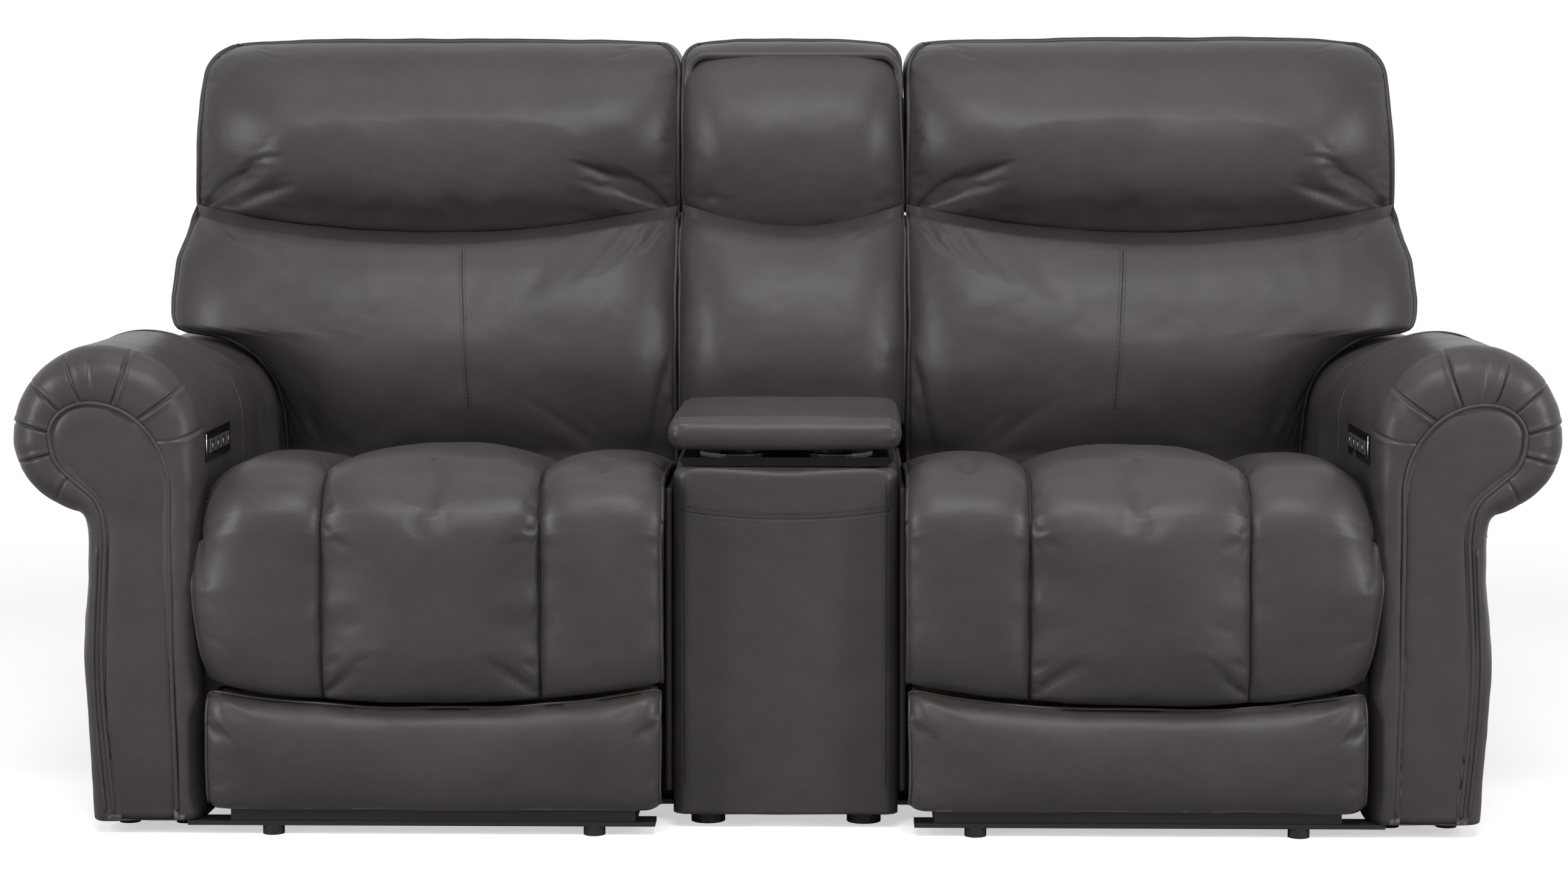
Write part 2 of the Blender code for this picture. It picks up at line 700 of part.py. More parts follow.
def make_links(side, sign, looks):
    """The folding links: the first hangs on the seat plate, the second carries the footrest."""
    fixed = (LINK_PIVOT_Y, LINK_PIVOT_HEIGHT)
    half_gap = LINK_FOLDED_OFFSET / 2
    drop = math.sqrt(LINK_LENGTH**2 - half_gap**2)
    elbow = (LINK_PIVOT_Y - half_gap, LINK_PIVOT_HEIGHT - drop)
    carried = (LINK_PIVOT_Y - LINK_FOLDED_OFFSET, LINK_PIVOT_HEIGHT)
    through = LINK_THICKNESS + RUNNING_GAP

    # The rear pair is joined by a torque tube on lugs behind the bars
    bars = []
    lugs = []
    pins = []
    half_way = ((fixed[0] + elbow[0]) / 2, (fixed[1] + elbow[1]) / 2)
    tube_at = (half_way[0] + TORQUE_TUBE_SETBACK, half_way[1])
    for x_low, x_high, inward in link_planes(1):
        near = sign * x_low
        far = sign * x_high
        bars.append(side_plate(bar_outline(fixed, elbow, LINK_WIDTH), near, far))
        lugs.append(side_plate(bar_outline(half_way, tube_at, LINK_WIDTH * 0.8), near, far))
        pins.append(link_pin(sign, x_low, x_high, inward, fixed, through, -1))
        pins.append(link_pin(sign, x_low, x_high, inward, elbow, through, 1))
    place = (sign * SEAT_MIDDLE, fixed[0], fixed[1])
    made = mesh_object(f"rear_links_{side}", merged(bars), looks["black_steel"], place, smooth=False)
    combine(made, merged(lugs), "UNION")
    combine(made, cross_tube(sign, 1, tube_at), "UNION")
    combine(made, merged(pins), "UNION")

    # The front pair is joined by a tube on the elbow's line, bored for the rear pair's pins
    bars = []
    pins = []
    holes = []
    for x_low, x_high, inward in link_planes(2):
        near = sign * x_low
        far = sign * x_high
        bars.append(side_plate(bar_outline(carried, elbow, LINK_WIDTH), near, far))
        pins.append(link_pin(sign, x_low, x_high, inward, carried, through, 1))
        middle = sign * (x_low + x_high) / 2
        holes.append(cylinder((middle, *elbow), PIN_RADIUS + PIN_CLEARANCE, LINK_THICKNESS * 2, (1, 0, 0)))
    place = (sign * SEAT_MIDDLE, elbow[0], elbow[1])
    made = mesh_object(f"front_links_{side}", merged(bars), looks["black_steel"], place, smooth=False)
    combine(made, cross_tube(sign, 2, elbow, LINK_WIDTH / 2 - 0.002), "UNION")
    combine(made, merged(holes), "DIFFERENCE")
    combine(made, merged(pins), "UNION")


def cross_tube(sign, order, pivot, radius=TORQUE_TUBE_RADIUS):
    """A bar along X from one link of a pair to the other."""
    layers = link_planes(order)
    low = layers[0][1] - LINK_THICKNESS / 2
    high = layers[1][0] + LINK_THICKNESS / 2
    centre = (sign * (low + high) / 2, pivot[0], pivot[1])
    return cylinder(centre, radius, high - low, (1, 0, 0), 12)


def make_seat_frame(side, sign, looks):
    """Steel side plates that run on the tracks, welded to the deck between them."""
    track_top = TRACK_HEIGHT
    plates = []
    holes = []
    for x_low, x_high, inward in link_planes(0):
        outline = [
            (LINK_PIVOT_Y - 0.016, LINK_PIVOT_HEIGHT - 0.018),
            (FRONT_Y + TRACK_SETBACK, track_top + TOUCH_GAP),
            (RECLINE_PIVOT_Y - 0.130, track_top + TOUCH_GAP),
            (RECLINE_PIVOT_Y - 0.020, RECLINE_PIVOT_Z - EAR_WIDTH / 2),
            (RECLINE_PIVOT_Y + 0.014, RECLINE_PIVOT_Z - 0.018),
            (RECLINE_PIVOT_Y + 0.022, RECLINE_PIVOT_Z),
            (RECLINE_PIVOT_Y + 0.014, RECLINE_PIVOT_Z + 0.018),
            (RECLINE_PIVOT_Y - 0.014, RECLINE_PIVOT_Z + 0.018),
            (RECLINE_PIVOT_Y - 0.110, DECK_TOP - 0.002),
            (LINK_PIVOT_Y - 0.016, DECK_TOP - 0.002),
        ]
        plates.append(side_plate(outline, sign * x_low, sign * x_high))
        middle = sign * (x_low + x_high) / 2
        for y, z in ((LINK_PIVOT_Y, LINK_PIVOT_HEIGHT), (RECLINE_PIVOT_Y, RECLINE_PIVOT_Z)):
            holes.append(cylinder((middle, y, z), PIN_RADIUS + PIN_CLEARANCE, 0.010, (1, 0, 0)))
    made = mesh_object(f"seat_frame_{side}", merged(plates), looks["black_steel"], smooth=False)
    layers = link_planes(0)
    deck = box(
        (sign * (layers[0][0] + 0.001), SLOPE_FOOT_Y + 0.006, DECK_TOP - DECK_THICKNESS),
        (sign * (layers[1][1] - 0.001), SEAT_REAR, DECK_TOP),
    )
    combine(made, deck, "UNION")
    combine(made, merged(holes), "DIFFERENCE")


def make_base(side, sign, looks):
    """The steel ring on the floor with its glides, and the raised tracks that the seat runs on."""
    front = FRONT_Y + BASE_FRONT_SETBACK
    low = GLIDE_HEIGHT
    high = GLIDE_HEIGHT + TUBE
    inner = link_planes(0)[0][0] + LINK_THICKNESS / 2 - TUBE / 2
    outer = link_planes(0)[1][0] + LINK_THICKNESS / 2 - TUBE / 2
    ring = mesh_object(
        f"base_frame_{side}",
        box((sign * inner, front, low), (sign * (outer + TUBE), BASE_REAR_Y, high)),
        looks["black_steel"],
        smooth=False,
    )
    hole = box(
        (sign * (inner + TUBE), front + TUBE, low - 0.010),
        (sign * outer, BASE_REAR_Y - TUBE, high + 0.010),
    )
    combine(ring, hole, "DIFFERENCE")
    tracks = []
    track_front = FRONT_Y + TRACK_SETBACK
    far = track_front + TRACK_LENGTH
    for x_low, x_high, inward in link_planes(0):
        middle = (x_low + x_high) / 2
        left = middle - TRACK_WIDTH / 2
        right = middle + TRACK_WIDTH / 2
        outline = [
            (track_front, high - 0.002),
            (track_front + POST_LENGTH, high - 0.002),
            (track_front + POST_LENGTH, TRACK_HEIGHT - TRACK_RAIL),
            (far - POST_LENGTH, TRACK_HEIGHT - TRACK_RAIL),
            (far - POST_LENGTH, high - 0.002),
            (far, high - 0.002),
            (far, TRACK_HEIGHT),
            (track_front, TRACK_HEIGHT),
        ]
        tracks.append(side_plate(outline, sign * left, sign * right))
    combine(ring, merged(tracks), "UNION")
    # The front strap is a flat bar that runs on under the arm; the glides stand under the ring
    strap = box(
        (sign * (SEAT_INNER + STRAP_OVERHANG), front - STRAP_PROUD, low),
        (sign * (ARM_INNER + STRAP_UNDER_ARM), front + STRAP_DEPTH, low + STRAP_THICKNESS),
    )
    combine(ring, strap, "UNION")
    places = []
    for x, inset in ((inner + TUBE / 2, GLIDE_INSET), (outer + TUBE / 2, -GLIDE_INSET)):
        places += [(x + inset, front + TUBE / 2), (x, BASE_REAR_Y - GLIDE_REAR_INSET)]
    glides = []
    for x, y in places:
        centre = (sign * x, y, (GLIDE_HEIGHT + WELD) / 2)
        glides.append(cylinder(centre, GLIDE_RADIUS, GLIDE_HEIGHT + WELD, (0, 0, 1), 12))
    combine(ring, merged(glides), "UNION")

    # Joining lugs: the ring is bolted to the console on one side and to the arm on the other
    lugs = []
    lug_low = CONSOLE_FOOT_HEIGHT + 0.002
    for near, far in (
        (CONSOLE_HALF + TOUCH_GAP, inner + 0.004),
        (outer + TUBE - 0.004, ARM_INNER - TOUCH_GAP),
    ):
        for y in (front + LUG_SETBACK, BASE_REAR_Y - LUG_SETBACK):
            lugs.append(
                box(
                    (sign * near, y - LUG_WIDTH / 2, lug_low),
                    (sign * far, y + LUG_WIDTH / 2, lug_low + LUG_THICKNESS),
                )
            )
    combine(ring, merged(lugs), "UNION")

    motor_y = track_front + 0.060
    saddle_low = high + TOUCH_GAP
    axis_z = saddle_low + SADDLE_HEIGHT + MOTOR_RADIUS - 0.004
    motor = cylinder(
        (sign * SEAT_MIDDLE, motor_y + MOTOR_LENGTH / 2, axis_z), MOTOR_RADIUS, MOTOR_LENGTH, (0, 1, 0), 14
    )
    made = mesh_object(f"recline_motor_{side}", motor, looks["black_plastic"])
    saddle_y = motor_y + (MOTOR_LENGTH - SADDLE_WIDTH) / 2
    saddle = box(
        (sign * (inner + TRACK_WIDTH * 0.2), saddle_y, saddle_low),
        (sign * (outer + TUBE - TRACK_WIDTH * 0.2), saddle_y + SADDLE_WIDTH, saddle_low + SADDLE_HEIGHT),
    )
    combine(made, saddle, "UNION")


def back_outer_x(z):
    """Outer edge of the back: between the arms below, spread over their tops above."""
    across = ROLL_CENTRE_INSET + SLIDE_GAP
    up = ARM_TOP + WING_CLEARANCE - ROLL_SPRING_HEIGHT
    rise = (z - ROLL_SPRING_HEIGHT) / up
    if rise <= 0:
        return BACK_LOWER_OUTER
    if rise >= 1:
        return BACK_OUTER_X
    return min(BACK_OUTER_X, ROLL_X - across * math.sqrt(1 - rise * rise))


def seam_z(x, low, high):
    """The curved seam under the head pillow: lowest in the middle."""
    share = 2 * (x - low) / (high - low) - 1
    return SEAM_END_Z - SEAM_DIP * (1 - share * share)


def lean_front_y(z):
    """Front of the back, leaning from the lumbar foot to the seam."""
    share = (z - BACK_FOOT_Z) / (SEAM_END_Z - BACK_FOOT_Z)
    return lerp(LUMBAR_FRONT_Y - 0.010, SEAM_Y - 0.014, max(0.0, share) ** 1.6)


def shell_rear_y(z):
    """Rear of the outside back at a height."""
    return lerp(SHELL_BOTTOM_REAR_Y, REAR_Y, (z - SHELL_BOTTOM) / (BACK_TOP - TOP_ROUND - SHELL_BOTTOM))


def lumbar_levels():
    wing_low = ROLL_SPRING_HEIGHT
    wing_high = ARM_TOP + WING_CLEARANCE
    span = wing_high - wing_low
    return [
        BACK_FOOT_Z,
        (BACK_FOOT_Z + wing_low) / 2,
        wing_low,
        wing_low + span * 0.45,
        wing_low + span * 0.78,
        wing_low + span * 0.96,
        wing_high,
    ]


def make_back(side, sign, looks):
    pivot = (sign * SEAT_MIDDLE, RECLINE_PIVOT_Y, RECLINE_PIVOT_Z)
    panel_front = BACK_PANEL_Y
    panel_rear = BACK_PANEL_Y + BACK_PANEL_THICKNESS

    def across(u, z):
        outer = back_outer_x(z)
        return lerp(BACK_INNER, outer, (u + 1) / 2)

    levels = lumbar_levels()
    top_level = levels[-1]

    def lumbar(u, w, t):
        """t counts levels; past the last named level it climbs to the seam."""
        if t <= len(levels) - 1:
            z = levels[int(t)]
            x = across(u, z)
        else:
            x = across(u, SEAM_END_Z)
            seam = seam_z(x, BACK_INNER, BACK_OUTER_X) - SOFT_GAP
            z = lerp(top_level, seam, t - (len(levels) - 1))
        side_round = abs(u) ** 6
        high = (z - BACK_FOOT_Z) / (SEAM_END_Z - BACK_FOOT_Z)
        crown = BACK_BULGE * (1 - side_round) * math.sin(math.pi * min(1.0, max(0.0, high)) * 0.9 + 0.2)
        seam_draw = 0.008 if abs(u) < 0.01 else 0.0
        y = lean_front_y(z) + BACK_BULGE - crown + seam_draw
        return (sign * x, lerp(panel_front - TOUCH_GAP, y, w), z)

    ts = tuple(range(len(levels))) + (len(levels) - 0.45, len(levels) - 0.12, float(len(levels)))
    bm = shaped_block(BACK_STATIONS, (0.0, 0.6, 1.0), ts, lumbar)
    mesh_object(f"back_cushion_{side}", bm, looks["leather"], pivot)

    # The outside back is a tray, open at the front and top, that closes round the frame
    rear_levels = [SHELL_BOTTOM, BACK_FOOT_Z] + levels[2:] + [SEAM_END_Z]

    def tray(u, w, z):
        x = across(u, z)
        if z >= SEAM_END_Z:
            z = seam_z(x, BACK_INNER, BACK_OUTER_X) - SOFT_GAP
        corner = 0.020 * abs(u) ** 8
        front = panel_front + TOUCH_GAP if z >= BACK_FOOT_Z else panel_rear + 0.060
        return (sign * x, lerp(front, shell_rear_y(z) - corner, w), z)

    def hollow(u, w, z):
        x = lerp(BACK_INNER + SHELL_WALL, back_outer_x(z) - SHELL_WALL, (u + 1) / 2)
        front = panel_front - 0.020 if z >= BACK_FOOT_Z else panel_front + 0.020
        if z >= SEAM_END_Z:
            z = SEAM_END_Z + 0.020
        if z <= SHELL_BOTTOM:
            z = SHELL_BOTTOM + SHELL_WALL
        return (sign * x, lerp(front, shell_rear_y(z) - SHELL_WALL - 0.006, w), z)

    bm = shaped_block(BACK_STATIONS, (0.0, 1.0), rear_levels, tray)
    shell = mesh_object(f"back_shell_{side}", bm, looks["leather"], pivot)
    combine(shell, shaped_block((-1.0, 0.0, 1.0), (0.0, 1.0), rear_levels, hollow), "DIFFERENCE")

    make_back_frame(side, sign, pivot, looks)


def make_back_frame(side, sign, pivot, looks):
    """Plywood back panel with the hinge ears below and the headrest guide above."""
    low_x = BACK_INNER + BACK_PANEL_MARGIN
    high_x = BACK_LOWER_OUTER - BACK_PANEL_MARGIN
    top = SEAM_END_Z - SEAM_DIP - 0.030
    rear = BACK_PANEL_Y + BACK_PANEL_THICKNESS
    panel = mesh_object(
        f"back_frame_{side}",
        box((sign * low_x, BACK_PANEL_Y, BACK_FOOT_Z), (sign * high_x, rear, top)),
        looks["plywood"],
        pivot,
        smooth=False,
    )
    ears = []
    for x_low, x_high, inward in link_planes(1):
        outline = [
            (BACK_PANEL_Y + 0.001, BACK_FOOT_Z + 0.090),
            (BACK_PANEL_Y + 0.001, BACK_FOOT_Z + 0.004),
            (RECLINE_PIVOT_Y - 0.018, RECLINE_PIVOT_Z - 0.010),
            (RECLINE_PIVOT_Y, RECLINE_PIVOT_Z - 0.020),
            (RECLINE_PIVOT_Y + 0.018, RECLINE_PIVOT_Z - 0.010),
            (RECLINE_PIVOT_Y + 0.018, RECLINE_PIVOT_Z + 0.010),
            (rear + 0.004, BACK_FOOT_Z + 0.090),
        ]
        ears.append(side_plate(outline, sign * x_low, sign * x_high))
    combine(panel, merged(ears), "UNION")
    pins = []
    for x_low, x_high, inward in link_planes(1):
        pins.append(
            link_pin(
                sign,
                x_low,
                x_high,
                inward,
                (RECLINE_PIVOT_Y, RECLINE_PIVOT_Z),
                LINK_THICKNESS + RUNNING_GAP,
                -1,
            )
        )
    combine(panel, merged(pins), "UNION")

    head_y = SEAM_Y
    head_z = head_pivot_z()
    guide_front = rear - 0.001
    guide_rear = head_y + HEAD_ARC_RADIUS + HEAD_PLATE_THICKNESS + GUIDE_WALL
    half = HEAD_PLATE_WIDTH / 2
    guide = box(
        (sign * (SEAT_MIDDLE - half - GUIDE_WALL), guide_front, top - GUIDE_HEIGHT),
        (sign * (SEAT_MIDDLE + half + GUIDE_WALL), guide_rear, top),
    )
    combine(panel, guide, "UNION")
    slot = arc_strip(
        (head_y, head_z),
        HEAD_ARC_RADIUS - RUNNING_GAP,
        HEAD_ARC_RADIUS + HEAD_PLATE_THICKNESS + RUNNING_GAP,
        10.0,
        -60.0,
        SEAT_MIDDLE - half - RUNNING_GAP,
        SEAT_MIDDLE + half + RUNNING_GAP,
        sign,
    )
    combine(panel, slot, "DIFFERENCE")


def head_pivot_z():
    """The headrest turns about a line through the middle of the curved seam's height."""
    return SEAM_END_Z - SEAM_DIP / 2


def arc_strip(centre, inner, outer, first, last, x_low, x_high, sign):
    """A curved strip about a line along X, between two angles measured up from +Y."""
    steps = 14
    outline = []
    for i in range(steps + 1):
        angle = math.radians(lerp(first, last, i / steps))
        outline.append((centre[0] + outer * math.cos(angle), centre[1] + outer * math.sin(angle)))
    for i in range(steps + 1):
        angle = math.radians(lerp(last, first, i / steps))
        outline.append((centre[0] + inner * math.cos(angle), centre[1] + inner * math.sin(angle)))
    return side_plate(outline, sign * x_low, sign * x_high)


def make_headrest(side, sign, looks):
    """The head pillow with the top of the back, and the bent plate it turns on."""
    pivot_z = head_pivot_z()
    pivot = (sign * SEAT_MIDDLE, SEAM_Y, pivot_z)
    half = HEAD_PLATE_WIDTH / 2

    def pillow(u, w, t):
        outer = BACK_OUTER_X - HEAD_TAPER * t
        x = lerp(BACK_INNER, outer, (u + 1) / 2)
        side_round = abs(u) ** 8
        bottom = seam_z(x, BACK_INNER, BACK_OUTER_X)
        top = BACK_TOP - 0.014 * side_round - 0.030 * abs(2 * w - 1) ** 4
        z = lerp(bottom, top, t)
        belly = BACK_BULGE * 1.3 * math.sin(math.pi * min(1.0, t * 1.15) ** 0.8) * (1 - abs(u) ** 6)
        front = lerp(SEAM_Y, HEAD_TOP_FRONT_Y, t**1.3) - belly
        rear = shell_rear_y(min(z, BACK_TOP - TOP_ROUND)) - 0.020 * max(0.0, t - 0.8) / 0.2
        corner = 0.015 * side_round
        return (sign * x, lerp(front + corner, rear - corner, w), z)

    bm = shaped_block(
        BACK_STATIONS, (0.0, 0.25, 0.5, 0.75, 1.0), (0.0, 0.12, 0.35, 0.6, 0.85, 1.0), pillow
    )
    made = mesh_object(f"headrest_cushion_{side}", bm, looks["leather"], pivot)
    plate_y = SEAM_Y + HEAD_ARC_RADIUS
    slot_front = SEAM_Y + math.sqrt(HEAD_ARC_RADIUS**2 - (SEAM_DIP / 2) ** 2) - RUNNING_GAP
    slot = box(
        (sign * (SEAT_MIDDLE - half - TOUCH_GAP), slot_front, SEAM_END_Z - SEAM_DIP - 0.060),
        (
            sign * (SEAT_MIDDLE + half + TOUCH_GAP),
            plate_y + HEAD_PLATE_THICKNESS + TOUCH_GAP,
            pivot_z + HEAD_PLATE_RISE + TOUCH_GAP,
        ),
    )
    combine(made, slot, "DIFFERENCE")

    steps = 8
    plate_top = pivot_z + HEAD_PLATE_RISE
    outline = [(plate_y, plate_top), (plate_y + HEAD_PLATE_THICKNESS, plate_top)]
    outer = HEAD_ARC_RADIUS + HEAD_PLATE_THICKNESS
    for i in range(steps + 1):
        angle = -math.radians(HEAD_TONGUE_ANGLE) * i / steps
        outline.append((SEAM_Y + outer * math.cos(angle), pivot_z + outer * math.sin(angle)))
    for i in range(steps + 1):
        angle = -math.radians(HEAD_TONGUE_ANGLE) * (1 - i / steps)
        outline.append(
            (SEAM_Y + HEAD_ARC_RADIUS * math.cos(angle), pivot_z + HEAD_ARC_RADIUS * math.sin(angle))
        )
    plate = side_plate(outline, sign * (SEAT_MIDDLE - half), sign * (SEAT_MIDDLE + half))
    mesh_object(f"headrest_plate_{side}", plate, looks["zinc_steel"], pivot, smooth=False)


def make_centre_back(looks):
    """The fixed back behind the console, with the same seam as its neighbours."""
    panel_front = BACK_PANEL_Y
    foot = CONSOLE_HEIGHT + TOUCH_GAP
    us = (-1.0, -0.85, -0.5, 0.0, 0.5, 0.85, 1.0)

    def seam(u):
        return SEAM_END_Z - SEAM_DIP * 0.7 * (1 - u * u)

    def lumbar(u, w, t):
        z = lerp(foot, seam(u) - SOFT_GAP, t)
        crown = BACK_BULGE * (1 - abs(u) ** 5) * math.sin(math.pi * (0.1 + 0.85 * t))
        y = lean_front_y(z) + BACK_BULGE - crown
        return (u * CENTRE_HALF, lerp(panel_front, y, w), z)

    bm = shaped_block(us, (0.0, 1.0), (0.0, 0.3, 0.6, 0.85, 0.95, 1.0), lumbar)
    mesh_object("centre_back_cushion", bm, looks["leather"])

    def head(u, w, t):
        side_round = abs(u) ** 6
        z = lerp(seam(u), BACK_TOP - 0.010 * side_round - 0.024 * (1 - w) ** 3, t)
        belly = BACK_BULGE * 1.3 * math.sin(math.pi * min(1.0, t * 1.15) ** 0.8) * (1 - side_round)
        y = lerp(SEAM_Y, HEAD_TOP_FRONT_Y, t**1.3) - belly + 0.010 * side_round
        return (u * CENTRE_HALF, lerp(y, panel_front + HEAD_REACH, w), z)

    bm = shaped_block(us, (0.0, 0.5, 1.0), (0.0, 0.12, 0.35, 0.6, 0.85, 1.0), head)
    mesh_object("centre_head_cushion", bm, looks["leather"])

    rear_bottom = shell_rear_y(CONSOLE_HEIGHT)
    outline = [
        (panel_front + TOUCH_GAP, foot),
        (rear_bottom, foot),
        (REAR_Y, BACK_TOP - TOP_ROUND),
        (REAR_Y - 0.020, BACK_TOP - 0.020),
        (panel_front + HEAD_REACH + TOUCH_GAP, BACK_TOP - 0.006),
        (panel_front + HEAD_REACH + TOUCH_GAP, SEAM_END_Z - SOFT_GAP * 2 - SEAM_DIP * 0.7),
        (panel_front + TOUCH_GAP, SEAM_END_Z - SOFT_GAP * 2 - SEAM_DIP * 0.7),
    ]
    shell = side_plate(outline, -CENTRE_HALF, CENTRE_HALF)
    mesh_object("centre_back_shell", shell, looks["leather"])


def make_console(looks):
    """The fixed console: an upholstered box, a gloss tray with cup wells, a bin, and a lid."""
    rear = shell_rear_y(CONSOLE_HEIGHT) - 0.020
    front = CONSOLE_FRONT
    half = CONSOLE_HALF
    us = (-1.0, -0.92, -0.6, 0.0, 0.6, 0.92, 1.0)

    def body(u, w, t):
        puff = 0.012 * (1 - abs(u) ** 4) * math.sin(math.pi * min(1.0, t * 1.05))
        corner = 0.010 * abs(u) ** 10
        y = lerp(front + 0.012 - puff + corner, rear - corner, w)
        return (u * half, y, lerp(CONSOLE_FOOT_HEIGHT, CONSOLE_HEIGHT, t))

    bm = shaped_block(us, (0.0, 1.0), (0.0, 0.1, 0.4, 0.75, 0.9, 1.0), body)
    shell = mesh_object("console_body", bm, looks["leather"])
    wall = CONSOLE_WALL
    cavity = box(
        (-half + wall, front + wall + 0.010, CONSOLE_FLOOR),
        (half - wall, LID_REAR, CONSOLE_HEIGHT + 0.020),
    )
    combine(shell, cavity, "DIFFERENCE")

    foot_height = CONSOLE_FOOT_HEIGHT - TOUCH_GAP
    for end, y in (("front", front + CONSOLE_FOOT_INSET + 0.012), ("rear", rear - CONSOLE_FOOT_INSET)):
        for side, sign in SIDES.items():
            centre = (sign * (half - CONSOLE_FOOT_INSET), y, foot_height / 2)
            foot = cylinder(centre, CONSOLE_FOOT_RADIUS, foot_height, (0, 0, 1), 16)
            mesh_object(f"console_foot_{end}_{side}", foot, looks["black_plastic"])

    # The tray lies on the console's rim; cups and bin hang in its openings
    tray_front = front + 0.013
    tray_rear = LID_REAR + LID_HINGE_RUN
    low = CONSOLE_HEIGHT + TOUCH_GAP
    tray = mesh_object(
        "console_tray",
        box((-half + 0.013, tray_front, low), (half - 0.013, tray_rear, TRAY_TOP)),
        looks["gloss_black"],
        smooth=False,
    )
    cuts = []
    for side, sign in SIDES.items():
        x = sign * CUP_SPACING / 2
        cuts.append(cylinder((x, CUP_Y, low), CUP_RADIUS + CUP_WALL + TOUCH_GAP, 0.060, (0, 0, 1), 24))
        rim_top = TRAY_TOP + TOUCH_GAP + 0.003
        profile = [
            (0.0, rim_top - CUP_DEPTH - CUP_WALL),
            (CUP_RADIUS + CUP_WALL - 0.003, rim_top - CUP_DEPTH - CUP_WALL),
            (CUP_RADIUS + CUP_WALL, TRAY_TOP + TOUCH_GAP),
            (CUP_RADIUS + CUP_RIM, TRAY_TOP + TOUCH_GAP),
            (CUP_RADIUS + CUP_RIM, rim_top - 0.001),
            (CUP_RADIUS + CUP_RIM - 0.002, rim_top),
            (CUP_RADIUS, rim_top),
            (CUP_RADIUS - 0.003, rim_top - CUP_DEPTH),
            (0.0, rim_top - CUP_DEPTH),
        ]
        cup = turned(profile, (x, CUP_Y), 24)
        mesh_object(f"cup_holder_{side}", cup, looks["polished_steel"])
    bin_half = half - wall - 0.012
    bin_rear = BIN_FRONT + BIN_LENGTH
    cuts.append(
        box(
            (-bin_half - TOUCH_GAP, BIN_FRONT - TOUCH_GAP, low - 0.020),
            (bin_half + TOUCH_GAP, bin_rear + TOUCH_GAP, TRAY_TOP + 0.020),
        )
    )
    combine(tray, merged(cuts), "DIFFERENCE")

    liner = mesh_object(
        "storage_bin",
        box((-bin_half, BIN_FRONT, TRAY_TOP - BIN_DEPTH), (bin_half, bin_rear, TRAY_TOP)),
        looks["black_plastic"],
        smooth=False,
    )
    combine(
        liner,
        box(
            (-bin_half + BIN_WALL, BIN_FRONT + BIN_WALL, TRAY_TOP - BIN_DEPTH + BIN_WALL),
            (bin_half - BIN_WALL, bin_rear - BIN_WALL, TRAY_TOP + 0.020),
        ),
        "DIFFERENCE",
    )
    make_lid(looks, tray_rear, rear)


def turned(profile, centre, segments):
    """A body turned about a vertical line from an (r, z) profile that starts and ends on it."""
    bm = bmesh.new()
    rings = []
    for r, z in profile:
        if r == 0.0:
            rings.append([bm.verts.new((centre[0], centre[1], z))])
            continue
        ring = []
        for i in range(segments):
            angle = 2 * math.pi * i / segments
            ring.append(bm.verts.new((centre[0] + r * math.cos(angle), centre[1] + r * math.sin(angle), z)))
        rings.append(ring)
    for near, far in zip(rings, rings[1:]):
        for i in range(segments):
            j = (i + 1) % segments
            if len(near) == 1:
                bm.faces.new((near[0], far[i], far[j]))
            elif len(far) == 1:
                bm.faces.new((near[i], near[j], far[0]))
            else:
                bm.faces.new((near[i], near[j], far[j], far[i]))
    return bm


